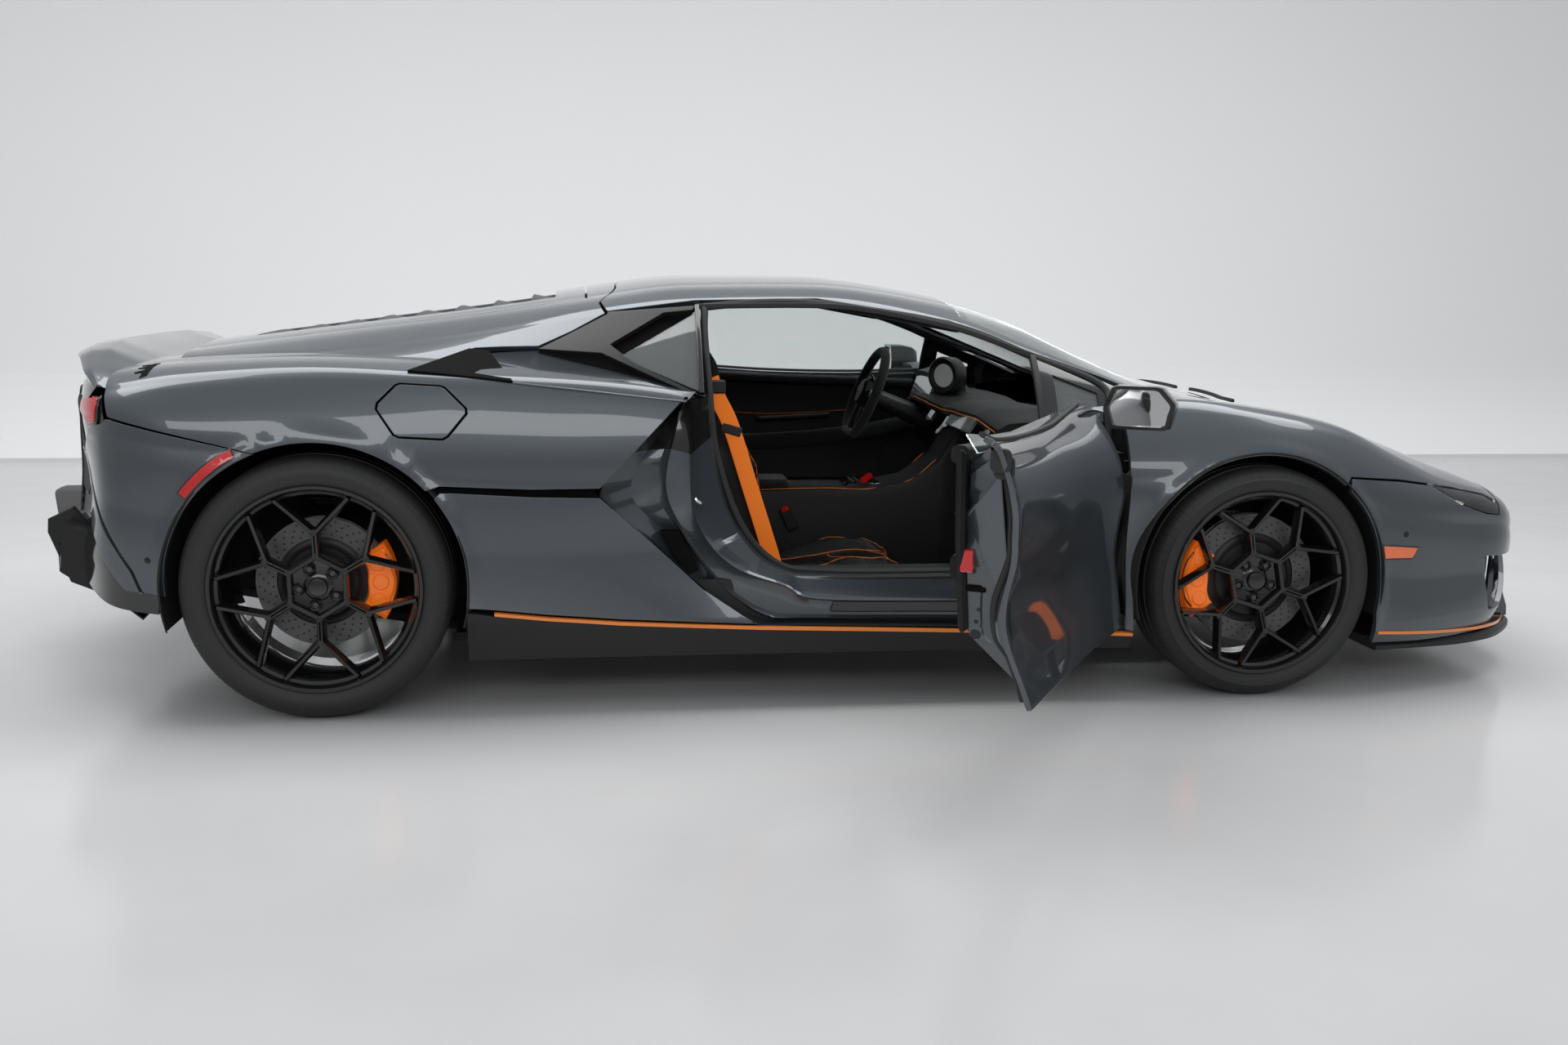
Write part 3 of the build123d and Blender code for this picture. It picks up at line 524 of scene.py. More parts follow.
def panel(skin, points, gap=0.004, lip=0.0018, depth=0.014, spacing=0.018, lift=0.0, holes=(), whole=False):
    """A panel cut from the skin along an outline, with rolled edges and a thickness. A whole one crosses
    the centre plane, where its outline runs along the skin's last corner."""
    loop = drawn_in(skin.chart(skin.path(list(points))), gap / 2 + lip)
    if whole:
        crown = np.array([skin.row(skin.l, x)[-1] for x in loop[:, 0]])
        loop[:, 1] = np.where(crown - loop[:, 1] < gap / 2 + lip + 1e-6, crown, loop[:, 1])
    cuts = [drawn_in(skin.chart(skin.path(list(h))), -gap / 2 - lip) for h in holes]
    x0, x1 = loop[:, 0].min(), loop[:, 0].max()
    t_rows = np.concatenate([k + T_FINE for k in range(skin.spans)])
    columns = np.arange(math.floor(x0 / spacing), math.ceil(x1 / spacing) + 1) * spacing
    grid = np.array([(x, t) for x in columns for t in t_rows])
    grid = skin.chart(grid)
    box = (grid[:, 1] > loop[:, 1].min()) & (grid[:, 1] < loop[:, 1].max())
    grid = grid[box]
    keep = inside(grid, loop) & (edge_distance(grid, loop) > 0.005)
    for cut in cuts:
        keep &= ~inside(grid, cut) & (edge_distance(grid, cut) > 0.005)
    grid = grid[keep]
    loops = [loop] + cuts
    edges, start = [], 0
    for part in loops:
        edges += [(start + i, start + (i + 1) % len(part)) for i in range(len(part))]
        start += len(part)
    flat = np.concatenate(loops + [grid])
    flat_verts, _, faces, *_ = geometry.delaunay_2d_cdt([Vector(p) for p in flat], edges, [], 1, 1e-6, False)
    flat = np.array([tuple(v) for v in flat_verts])
    centres = np.array([flat[list(f)].mean(0) for f in faces])
    keep = inside(centres, loop)
    for cut in cuts:
        keep &= ~inside(centres, cut)
    faces = [tuple(f) for f, k in zip(faces, keep) if k]
    xt = skin.unchart(flat)
    top = skin.at(xt[:, 0], xt[:, 1])
    normal = skin.at(xt[:, 0], xt[:, 1], skin.n)
    normal /= np.linalg.norm(normal, axis=1, keepdims=True)
    top = top + normal * lift
    a, b, c = (top[[f[i] for f in faces]] for i in range(3))
    turned = (np.cross(b - a, c - a) * normal[[f[0] for f in faces]]).sum(1) < 0
    faces = [tuple(reversed(f)) if r else f for f, r in zip(faces, turned)]
    if whole:
        middle = np.abs(top[:, 1]) < 1e-5
        normal[middle, 1] = 0
        other = np.where(middle, np.arange(len(top)), len(top) + np.cumsum(~middle) - 1)
        flip = np.array([1.0, -1.0, 1.0])
        faces += [tuple(other[i] for i in reversed(f)) for f in faces]
        top, normal = (np.concatenate([v, v[~middle] * flip]) for v in (top, normal))
    return closed_sheet(top, normal, faces, lip, depth)


def closed_sheet(top, normal, faces, lip, depth):
    """A sheet with rolled edges and an inner face."""
    count = len(top)
    seen = {}
    for f in faces:
        for i in range(len(f)):
            seen[(f[i], f[(i + 1) % len(f)])] = True
    rim = [(a, b) for a, b in seen if (b, a) not in seen]
    outward = np.zeros((count, 3))
    for a, b in rim:
        d = np.cross(top[b] - top[a], normal[a])
        d /= np.linalg.norm(d) + 1e-12
        outward[a] += d
        outward[b] += d
    rim_points = sorted(set(i for e in rim for i in e))
    place = {v: i for i, v in enumerate(rim_points)}
    outward = outward[rim_points]
    outward /= np.linalg.norm(outward, axis=1, keepdims=True) + 1e-12
    base, up = top[rim_points], normal[rim_points]
    points, normals = [top], [normal]
    for angle in np.radians([45, 90]):
        points.append(base + outward * lip * np.sin(angle) - up * lip * (1 - np.cos(angle)))
        normals.append(outward * np.sin(angle) + up * np.cos(angle))
    points.append(points[-1] - up * depth)
    normals.append(outward)
    points.append(points[-1])
    normals.append(-up)
    points.append(top - normal * (lip + depth))
    normals.append(-normal)
    ring = len(rim_points)
    levels = [lambda v: v] + [lambda v, k=k: count + k * ring + place[v] for k in range(3)]
    result = list(faces)
    for low, high in zip(levels, levels[1:]):
        result += [(low(b), low(a), high(a), high(b)) for a, b in rim]
    last, inner = count + 3 * ring, count + 4 * ring
    result += [(last + place[b], last + place[a], inner + a, inner + b) for a, b in rim]
    result += [tuple(inner + i for i in reversed(f)) for f in faces]
    return Shell(np.concatenate(points), np.concatenate(normals), result)


def loft(rows, closed=True, capped=True):
    """A skin over rows of points; closed rows are rings, and capped ends are filled."""
    rows = np.array(rows, float)
    count, size = rows.shape[:2]
    last = size if closed else size - 1
    faces = [(i * size + j, i * size + (j + 1) % size, (i + 1) * size + (j + 1) % size, (i + 1) * size + j)
             for i in range(count - 1) for j in range(last)]
    if capped:
        faces += [tuple(range(size)), tuple(range((count - 1) * size, count * size))[::-1]]
    return Shell(rows.reshape(-1, 3), None, faces)


def lathe(profile, centre, segments=96, axis="Y"):
    """A ring turned about an axis through centre, from a closed outline of (distance along it, radius)."""
    turn = np.linspace(0, 2 * math.pi, segments, endpoint=False)
    along = np.array(profile, float)
    c, s = np.cos(turn)[:, None], np.sin(turn)[:, None]
    a, r = along[:, 0][None], along[:, 1][None]
    parts = {"X": [a + 0 * c, r * c, r * s], "Y": [r * c, a + 0 * c, r * s],
        "Z": [r * c, r * s, a + 0 * c]}[axis]
    rows = np.stack(parts, 2) + np.array(centre)
    return loft(np.concatenate([rows, rows[:1]]), capped=False)


def curve(points, count=24, closed=False):
    """Points along a smooth curve through the given ones."""
    p = np.array(points, float)
    p = np.concatenate([p[-1:], p, p[:2]] if closed else [2 * p[:1] - p[1:2], p, 2 * p[-1:] - p[-2:-1]])
    found = []
    for i in range(1, len(p) - 2):
        for s in np.arange(count) / count:
            found.append(0.5 * (2 * p[i] + (p[i + 1] - p[i - 1]) * s
                                + (2 * p[i - 1] - 5 * p[i] + 4 * p[i + 1] - p[i + 2]) * s ** 2
                                + (3 * p[i] - p[i - 1] - 3 * p[i + 1] + p[i + 2]) * s ** 3))
    return np.array(found if closed else found + [p[-2]])


def sweep(path, section, up=(0, 0, 1), closed=False):
    """A section of (across, upwards) points, or one per path point, carried along a path."""
    path = np.array(path, float)
    along = np.roll(path, -1, 0) - np.roll(path, 1, 0) if closed else np.gradient(path, axis=0)
    along /= np.linalg.norm(along, axis=1, keepdims=True)
    across = np.cross(along, np.array(up, float))
    across /= np.linalg.norm(across, axis=1, keepdims=True)
    over = np.cross(across, along)
    section = np.array(section, float)
    if section.ndim == 2:
        section = np.broadcast_to(section, (len(path),) + section.shape)
    rows = path[:, None] + section[..., :1] * across[:, None] + section[..., 1:] * over[:, None]
    if closed:
        rows = np.concatenate([rows, rows[:1]])
    return loft(rows, capped=not closed)


def ring(radius, sides=12, squash=1.0):
    turn = np.linspace(0, 2 * math.pi, sides, endpoint=False)
    return [(radius * math.cos(a), radius * squash * math.sin(a)) for a in turn]


def rounded(width, height, radius, steps=4):
    """A rectangle's outline with round corners, about its middle."""
    found = []
    for k, (sx, sy) in enumerate([(1, 1), (-1, 1), (-1, -1), (1, -1)]):
        for a in np.linspace(0, math.pi / 2, steps + 1) + k * math.pi / 2:
            found.append((sx * (width / 2 - radius) + radius * math.cos(a),
                          sy * (height / 2 - radius) + radius * math.sin(a)))
    return found


def prism(outline, depth, bevel=0.002, matrix=None):
    """An outline in the XY plane made depth thick along Z, with its edges broken, then moved."""
    outline = np.array(outline, float)
    small = drawn_in(outline, bevel)
    big = drawn_in(outline, 0.0)
    rows = [np.column_stack([loop, np.full(len(loop), z)])
            for loop, z in ((small, 0.0), (big, bevel), (big, depth - bevel), (small, depth))]
    made = loft(rows)
    return made.moved(matrix) if matrix is not None else made


def facing(origin, across, up):
    """The matrix whose X and Y are across and up and whose Z is the way they face."""
    x = Vector(across).normalized()
    z = x.cross(Vector(up)).normalized()
    y = z.cross(x)
    return Matrix.Translation(origin) @ Matrix((x, y, z)).transposed().to_4x4()


def block(low, high, bevel=0.004):
    """A block between two corners with broken edges."""
    low, high = np.minimum(low, high), np.maximum(low, high)
    size = high - low
    outline = [(0, 0), (size[0], 0), (size[0], size[1]), (0, size[1])]
    return prism(outline, size[2], bevel, Matrix.Translation(low))


def plate(points, thickness=0.003, bevel=0.0008):
    """A thin flat plate over nearly flat corners, its face the way they turn round it."""
    p = np.array(points, float)
    normal = np.sum(np.cross(p, np.roll(p, -1, axis=0)), axis=0)
    normal /= np.linalg.norm(normal)
    middle = p.mean(0)
    rows = [p - normal * thickness, p - normal * bevel, p + (middle - p) * bevel / 0.1]
    return loft(rows)


def side_sheet(outline, depth_at, spacing=0.02):
    """A thin sheet inside a side-view outline of (x, z), lying at the y that depth_at gives."""
    loop = drawn_in(np.array(outline, float), 0.0)
    low, high = loop.min(0), loop.max(0)
    grid = np.array([(x, z) for x in np.arange(low[0], high[0], spacing)
                     for z in np.arange(low[1], high[1], spacing)])
    grid = grid[inside(grid, loop) & (edge_distance(grid, loop) > spacing * 0.4)]
    edges = [(i, (i + 1) % len(loop)) for i in range(len(loop))]
    flat = [Vector(v) for v in np.concatenate([loop, grid])]
    flat, _, faces, *_ = geometry.delaunay_2d_cdt(flat, edges, [], 1, 1e-6, False)
    points = np.array([(x, depth_at(x, z), z) for x, z in flat])
    front = Shell(points, None, [tuple(f) for f in faces])
    back = Shell(points - [0, .002, 0], None, [tuple(reversed(f)) for f in faces])
    count = len(points)
    both = front + back
    loops = range(len(loop))
    both.faces += [(i, (i + 1) % len(loop), count + (i + 1) % len(loop), count + i) for i in loops]
    return both


def spaced(outline, step=0.02):
    """An outline with points no further apart than step."""
    found = []
    for a, b in zip(outline, list(outline[1:]) + [outline[0]]):
        count = max(1, int(np.ceil(np.linalg.norm(np.subtract(b, a)) / step)))
        found += [tuple(np.add(a, np.multiply(np.subtract(b, a), k / count))) for k in range(count)]
    return found


def arch_relief(p):
    """A shallow raised lip round each wheel arch."""
    rise = np.zeros(p.shape[:2])
    for cx, cz, radius in (front_arch, rear_arch):
        off = np.hypot(p[..., 0] - cx, p[..., 2] - cz) - radius
        side = (p[..., 1] > 0.75) & (p[..., 2] < 0.9)
        rise += np.where(side, 0.006 * np.exp(-np.maximum(off - 0.012, 0) ** 2 / 0.018 ** 2), 0)
    return rise


body_rows = [(x, [(half_width - inset, z) for inset, z in pairs] + [(0.0, centre)])
    for x, *pairs, centre in BODY]
body_skin = Skin(body_rows, {1: .02, 2: .12, 3: .07, 4: .035, 5: .10}, [0, .004, .003, .012, .006, .010],
                 arch_relief)
cabin_skin = Skin([(x, [*pairs, (0.0, roof_height - drop)]) for x, *pairs, drop in CABIN],
                  {1: .03, 2: .09}, [.012, .004, .006], side=(0.0, 2.6), plan=(0.3, 3.0))

# ---------------------------------------------------------------- paint
# Dark slate-grey metallic lacquer: fine flakes under a clear coat, with the slight orange peel of spraying.
# The plain blacks, the felt and the orange trim lines that go with it.
paint, n = material("slate_metallic", "paint")
flakes = n.cells(2600.0, output=1)
flake = n.split(flakes)[0]
cloud = n.noise(1.3, 3.0)
tint = n.mix(flake, (0.046, 0.056, 0.066, 1), (0.082, 0.096, 0.110, 1))
n.surface(Base_Color=n.mix(cloud * 0.25, tint, (0.058, 0.068, 0.079, 1)), Metallic=0.5,
          Roughness=flake * 0.10 + 0.28, Coat_Weight=1.0, Coat_Roughness=0.03,
          Normal=n.bump(n.noise(260.0, 2.0), 0.00004, 0.25))

black_satin = grained("black_satin", "black_plastic", 900.0, 3.0, grey(0.011), grey(0.021), 0.32, 0.14,
                      (0.00012, 0.5), Specular_IOR_Level=0.32)
gloss_black, n = material("gloss_black", "gloss_black")
n.surface(Base_Color=n.mix(n.noise(2.0), grey(0.008), grey(0.014)), Roughness=n.noise(30.0, 3.0) * 0.04
    + 0.10, Coat_Weight=0.6, Coat_Roughness=0.04)
liner_matter = grained("wheel_well_felt", "black_plastic", 1400.0, 4.0, grey(0.010), grey(0.022), 0.95,
                       bump=(0.0006, 0.7))
orange_line = grained("orange_line", "accent", 40.0, 2.0, (0.82, 0.20, 0.015, 1), (0.90, 0.25, 0.02, 1), 0.28,
                      Coat_Weight=0.8, Coat_Roughness=0.05)

# ---------------------------------------------------------------- painted panels
# Wings, quarters, bumpers, bonnet and roof skins: pressed aluminium and composite, screwed to the frame,
# with shut lines of a few millimetres.


def flank(*points):
    """Corners of an outline, (x, z), as seen from the side."""
    return [("side", x, z) for x, z in points]


def above(*points):
    """Corners of an outline, (x, y), as seen from above."""
    return [("plan", x, y) for x, y in points]


def by_t(*points):
    """Corners of an outline, (x, t), by the skin's own measure."""
    return [("t", x, t) for x, t in points]


def arc(arch, start, end, grow=0.0, count=60):
    """Side-view points on a wheel arch, from one angle to another, in degrees from +X towards +Z."""
    cx, cz, radius = arch
    return flank(*[(cx + (radius + grow) * math.cos(a), cz + (radius + grow) * math.sin(a))
                   for a in map(math.radians, np.linspace(start, end, count))])


def both_sides(shell, name, matter, left_nodes=(), right_nodes=(), slot=None):
    """The piece on the left, and its mirror image on the right."""
    shell.piece(name + "_left", matter, *left_nodes, slot=slot)
    shell.mirrored().piece(name + "_right", matter, *right_nodes, slot=slot)


bonnet_edge = above((1.500, .643), (1.800, .603), (2.050, .520), (2.166, .476))
lamp_top = flank((2.150, .548), (2.105, .572), (1.980, .598), (1.885, .614))
fender = panel(body_skin, [*flank((.926, .205), (.926, .828)), *above((.930, .775), (1.150, .745)),
    *bonnet_edge, *lamp_top, *flank((1.760, .632), (1.592, .645)), *arc(front_arch, 49, 171),
    *flank((.950, .330), (.954, .199))])
both_sides(fender, "front_wing", paint, ["fender_left"], ["fender_right"])

front_centre = body_skin.spans
lamp_bottom = flank((1.885, .610), (1.990, .552), (2.100, .515), (2.166, .506))
side_intake = by_t((2.104, 2.35), (2.114, 1.75), (2.134, 1.05), (2.200, .96), (2.331, .92), (2.335, 2.30))
front_bumper = panel(body_skin, [*flank((1.592, .642), (1.760, .628)), *lamp_bottom, *above((2.172, .470)),
    *by_t((2.172, front_centre), (nose_x - .002, front_centre), (nose_x - .002, 0.0), (2.20, 0.0),
    (1.700, 0.0)), *arc(front_arch, -14, 46, count=30)], gap=0.001, whole=True, holes=[side_intake])
front_bumper.piece("front_bumper_skin", paint, "front_bumper")

bonnet = panel(body_skin, [
    *above((1.506, .634), (1.560, .628), (1.800, .598), (2.045, .515), (2.160, .470)),
    *by_t((2.162, front_centre), (1.506, front_centre))], gap=0.001, whole=True)
bonnet.piece("bonnet_skin", paint, "bonnet", body="bonnet_panel")

notch = flank((-.329, .878), (-.575, .622))
quarter_front_edge = flank((-.575, .600), (-.430, .470), (-.290, .340), (-.135, .236))
quarter_line = flank((-.760, .622), (-1.000, .634))
quarter_outline = [*notch, *quarter_line, *arc(rear_arch, 42, 112), *flank((-1.858, .813), (-1.872, .868)),
    *above((-1.880, .800), (-1.860, .445), (-1.740, .445), (-.900, .640), (-.600, .760), (-.400, .860))]
upper_quarter = panel(body_skin, quarter_outline)
flap_outline = flank((-1.163, .840), (-1.160, .856), (-1.114, .902), (-1.102, .907), (-.996, .901),
    (-.984, .896), (-.929, .842), (-.927, .828), (-.976, .768), (-.990, .760), (-1.104, .766),
    (-1.118, .773))
right_quarter = panel(body_skin, quarter_outline, holes=[flap_outline]).mirrored()
right_quarter.piece("rear_wing_right", paint, "quarter_right")
flap = panel(body_skin, flap_outline, gap=0.006, depth=0.006).mirrored()
flap.piece("fuel_flap_skin", paint, "fuel_flap", body="filler_flap")
pocket_depth = .066
flap_pocket = panel(body_skin, flap_outline, gap=0.0, depth=0.001, lift=-pocket_depth).mirrored()
flap_pocket.piece("fuel_flap_pocket", black_satin)
flap_edge = body_skin.unchart(body_skin.chart(body_skin.path(flap_outline)))
edge_top, edge_normal = (body_skin.at(flap_edge[:, 0], flap_edge[:, 1], field)
    for field in (None, body_skin.n))
pocket_wall = loft([edge_top - edge_normal * .003, edge_top - edge_normal * pocket_depth], capped=False)
filler_cap = lathe([(-.030, .0005), (-.030, .042), (.000, .042), (.005, .036), (.005, .0005)],
    (-1.066, .905, .835), 48)
(pocket_wall + filler_cap).mirrored().piece("fuel_filler", black_satin)
upper_quarter.piece("rear_wing_left", paint, "quarter_left")

stripe_line = [(.952, .1915), (-.130, .2275), (-.300, .236), (-.520, .248), (-.717, .265), (-.863, .283)]


def raised(line, rise):
    """A side-view line moved up."""
    return flank(*[(x, z + rise) for x, z in line])


lower_quarter = panel(body_skin, [
    *quarter_front_edge, *raised(stripe_line[2:], .008), *flank((-.934, .298)),
    *arc(rear_arch, -8, 38, grow=.002), *flank((-1.000, .622), (-.760, .606))], lift=-0.006)
both_sides(lower_quarter, "lower_quarter", paint)

sill = panel(body_skin, [*raised(stripe_line, -.0055), *flank((-.936, .290)),
    *by_t((-.936, 0.0), (.952, 0.0))], gap=0.001)
both_sides(sill, "sill", black_satin, ["sills"])
stripe = panel(body_skin, [*raised(stripe_line, .0045), *raised(stripe_line[::-1], -.0045)], gap=0.0,
    lift=0.004, lip=0.001)
both_sides(stripe, "sill_stripe", orange_line)

rear_corner = panel(body_skin, [*flank((-1.474, .724)), *arc(rear_arch, 114, 176, count=30),
    *flank((-1.722, .300), (-1.776, .322), (-1.803, .406), (-1.985, .706), (-1.934, .776), (-1.890, .788),
    (-1.862, .809))], gap=0.001)
both_sides(rear_corner, "rear_corner", paint)
blade = panel(body_skin, flank((-1.992, .702), (-2.046, .692), (-2.000, .600), (-1.930, .504),
    (-1.839, .365), (-1.790, .316), (-1.783, .326), (-1.807, .402)), gap=0.0, lift=.003)
both_sides(blade, "rear_blade", paint)
rear_bumper = panel(body_skin,
    [*flank((-1.745, .310)), *by_t((-1.750, 0.0), (tail_x + .001, 0.0),
    (tail_x + .001, front_centre), (-1.900, front_centre)), *above((-1.898, .440), (-1.890, .790)),
    *flank((-1.884, .860), (-1.874, .800), (-1.800, .740))], gap=0.001, depth=0.003, lift=-0.006,
    whole=True)
rear_bumper.piece("rear_valance", gloss_black, "rear_bumper")

# ---------------------------------------------------------------- greenhouse
# Roof skin, screen pillars and sail panels pressed and painted in body colour; the tinted glass is bonded
# in with a black border, and the black blades and rubber seals are clipped on between them.
glass, n = material("tinted_glass", "glass")
glass_tone = n.noise(4.0)
n.surface(Base_Color=n.mix(glass_tone, (0.80, 0.86, 0.85, 1), (0.84, 0.89, 0.88, 1)),
    Roughness=glass_tone * 0.02, Transmission_Weight=0.94, IOR=1.05, Coat_Weight=1.0, Coat_Roughness=0.0)
rubber = grained("black_rubber", "black_plastic", 700.0, 3.0, grey(0.012), grey(0.022), 0.55, 0.15,
    (0.0001, 0.5))
# Near-black and nearly unreflecting: painted shade where it stands for slots, mouths and openings; the door
# latch is really black.
black_and_painted_shade = grained("black_and_painted_shade", "black_plastic", 20.0, 2.0, grey(0.003), grey(0.006), 0.85,
                     Specular_IOR_Level=0.08)

crown = cabin_skin.spans
window_top = flank((.905, .918), (.704, .986), (.458, 1.076), (.064, 1.136), (-.292, 1.127))
screen_edge = above((1.496, .570), (1.150, .706), (.934, .687), (.704, .648), (.505, .610))
roof_cut = [*flank((-.548, 1.093), (-.566, 1.120)), *above((-.515, .300))]
roof = panel(cabin_skin, [*by_t((1.496, 0.70), (1.150, 0.93)), *window_top, *roof_cut,
    *by_t((-.505, crown), (.500, crown)), *screen_edge[::-1]], gap=0.003, whole=True)
roof.piece("roof_skin", paint, "roof_frame")

sail_line = flank((-.552, 1.088), (-.649, 1.037), (-.742, .996), (-.845, .993), (-.920, .989),
    (-.982, .968), (-1.043, .947), (-1.099, .927))
lid_side = above((-.604, .436), (-.900, .426), (rear_x, .416), (-1.742, .406))
sail = panel(cabin_skin, [
    *sail_line, *by_t((-1.300, 0.0), (-1.742, 0.0)), *lid_side[::-1], *by_t((-.604, crown), (-.508, crown)),
    *above((-.518, .300)), *flank((-.569, 1.117))], gap=0.003, whole=True)
sail.piece("sail_panels", paint)

windscreen = panel(cabin_skin, [*screen_edge, *by_t((.505, crown), (1.496, crown))], gap=0.002, depth=0.002,
                   lift=-0.003, spacing=0.03, whole=True)
windscreen.piece("windscreen_glass", glass, "windscreen")
screen_band = panel(cabin_skin,
    [*above((1.496, .568), (1.150, .704), (.934, .685), (.704, .646), (.508, .608)),
    *by_t((.508, crown), (.530, crown)), *above((.535, .585), (.704, .620), (.934, .660), (1.150, .676),
    (1.450, .560)), *by_t((1.440, crown), (1.496, crown))], gap=0.001, depth=0.001, lift=-0.007, whole=True)
screen_band.piece("screen_border", gloss_black)

blade = panel(cabin_skin, flank((-.745, .987), (-.649, 1.033), (-.549, 1.084), (-.545, 1.091),
    (-.292, 1.112), (-.300, 1.098), (-.385, 1.089), (-.539, 1.002), (-.474, .952), (-.275, .862),
    (-.335, .876), (-.567, .978)), gap=0.002, lift=0.003)
both_sides(blade, "quarter_blade", black_satin)
# The slot behind the blade is a sunken near-black sheet: painted shade in the slot.
quarter_seat = panel(cabin_skin, flank((-.560, 1.010), (-.390, 1.105), (-.285, 1.118), (-.280, .850),
    (-.520, .950)), lift=-0.022, depth=0.001, gap=0.0)
both_sides(quarter_seat, "quarter_slot", black_and_painted_shade)
quarter_glass = panel(cabin_skin, flank((-.508, .978), (-.305, 1.090), (-.300, 1.098), (-.292, 1.100),
    (-.292, .880), (-.474, .956)), gap=0.001, depth=0.003, lift=-0.004)
both_sides(quarter_glass, "quarter_pane", glass, ["fixed_glass"])

# the shelf under the blade: painted, with near-black plates behind it and above it that are painted shade in
# the intake's mouth and its wedge-shaped opening
shelf_corner = [(-.890, .690, .975), (-.740, .698, .986), (-.305, .817, .878), (-.338, .908, .858),
                (-.802, .914, .908)]
both_sides(plate(shelf_corner), "intake_shelf", paint)
mouth = [(-1.083, .906, .941), (-.935, .690, .989), (-.880, .694, .984), (-.806, .915, .914)]
both_sides(plate(mouth, .008), "intake_mouth", black_and_painted_shade)
wedge = [(-.740, .712, .990), (-.567, .728, .990), (-.320, .810, .885), (-.305, .812, .870),
    (-.740, .722, .976)]
both_sides(plate(wedge), "intake_wedge", black_and_painted_shade)

# the seal round each door opening
opening = [(.900, .742, .893), (.704, .684, .974), (.458, .645, 1.064), (.064, .613, 1.122),
    (-.230, .606, 1.112), (-.268, .640, 1.080), (-.262, .750, .880), (-.245, .795, .700),
    (-.175, .815, .500), (-.073, .820, .388), (.060, .822, .362), (.407, .822, .356), (.860, .822, .360),
    (.905, .820, .400), (.905, .815, .600), (.905, .800, .800)]
seal = sweep(curve(opening, 10, closed=True), ring(.011, 10), up=(0, 1, 0), closed=True)
both_sides(seal, "door_opening_seal", rubber)

# ---------------------------------------------------------------- engine lid
# A painted frame with black moulded louvres over a fine mesh, across the engine; it hinges at the roof's
# rear edge.
lid_frame = panel(cabin_skin, [*above((-.608, .430), (-.900, .420), (rear_x, .410), (-1.738, .400)),
    *by_t((-1.738, crown), (-1.600, crown)), *above((-1.600, .250), (-1.150, .290), (-.700, .310)),
    *by_t((-.700, crown), (-.608, crown))], gap=0.002, whole=True)
lid_frame.piece("engine_lid_skin", paint, "engine_lid", body="engine_cover")
# The fine mesh is a flat near-black sheet under the louvres: black mesh, and painted shade of the engine bay
# beneath it.
lid_mesh = panel(cabin_skin, [*above((-.690, .320), (-1.150, .300), (-1.610, .260)),
    *by_t((-1.610, crown), (-.690, crown))], gap=0.0, depth=0.001, lift=-0.020, whole=True)
lid_mesh.piece("engine_lid_mesh", black_and_painted_shade, body="engine_cover")


def slat(x):
    """One louvre, bowed across the lid."""
    edge = cabin_skin.t_plan(x, np.interp(x, [-1.600, -.700], [.246, .306]))
    row = cabin_skin.at(np.full(25, x), edge + np.linspace(0, 1, 25) * (crown - edge))
    path = np.concatenate([row, (row * [1, -1, 1])[-2::-1]]) - [0, 0, .014]
    return sweep(path, [(-.040, -.008), (.032, .004), (.032, .009), (-.040, -.003)])


joined(slat(x) for x in np.linspace(-.740, -1.560, 8)).piece("engine_lid_slats", black_satin,
    body="engine_cover")

# ---------------------------------------------------------------- wheel arches and under-sheets
# Pressed felt liners screwed into the four wheel wells, and near-black under-sheets behind the panels that
# close the gaps between them, so that no light falls through the shut lines; their near-black colour is painted
# shade behind the gaps.
liner_angle = np.radians(np.linspace(-16, 196, 54))


def well(arch, outer_y, inner_y, clearance):
    """A wheel well's liner: a flanged half drum with its inner wall."""
    cx, cz, radius = arch
    section = [(radius + .006, outer_y), (radius + clearance, outer_y - .030),
        (radius + clearance, inner_y), (radius - .150, inner_y), (radius - .150, inner_y - .004),
        (radius + clearance + .004, inner_y - .004), (radius + clearance + .004, outer_y - .030),
        (radius + .010, outer_y)]
    return loft([[(cx + r * math.cos(a), y, cz + r * math.sin(a)) for r, y in section] for a in liner_angle])


both_sides(well(front_arch, .972, .590, .016), "front_well_liner", liner_matter)
both_sides(well(rear_arch, .982, .590, .016), "rear_well_liner", liner_matter)
under_front = panel(body_skin,
    [*flank((.940, .215), (.940, .820)), *above((.945, .765), (1.160, .735), (1.490, .635), (1.800, .590),
    (2.050, .500), (2.120, .460)), *flank((2.130, .500), (1.980, .540), (1.880, .450), (1.840, .300)),
    *arc(front_arch, -4, 172, grow=.008), *flank((.950, .330))], lift=-0.022, depth=0.001, spacing=0.04)
both_sides(under_front, "front_under_sheet", black_and_painted_shade)
under_rear = panel(body_skin,
    [*flank((-.345, .860), (-.585, .615), (-.300, .330), (-.160, .245), (-.520, .262), (-.925, .275)),
    *arc(rear_arch, -8, 184, grow=.008), *flank((-1.860, .330), (-1.880, .860)),
    *above((-1.885, .780), (-1.870, .460), (-1.740, .460), (-.900, .650), (-.600, .770), (-.420, .850))],
    lift=-0.024, depth=0.001, spacing=0.04, holes=[flap_outline])
both_sides(under_rear, "rear_under_sheet", black_and_painted_shade)

# ---------------------------------------------------------------- tyres
# Low-profile tyres moulded in black rubber, with grooved treads, siped shoulders and plain rings on their
# bare side walls. Each is turned about its axle and rides with its wheel.
both = (("left", lambda shell: shell), ("right", Shell.mirrored))
AXLES = {
    # axle x, tyre radius, half width, bead radius, track half, brake disc radius, angle of the first spoke
    "front": (front_x, .340, .1275, .255, .861, .190, 41.5),
    "rear": (rear_x, .360, .1625, .268, .835, .178, 31.5),
}


def wheel_polar(n, cx, cz):
    """Angle in turns, distance from the axle, and Y, at each point of a wheel."""
    x, y, z = n.split(n.place())
    x, z = x - cx, z - cz
    return z.math("ARCTAN2", z, x) / (2 * math.pi), (x * x + z * z) ** 0.5, y


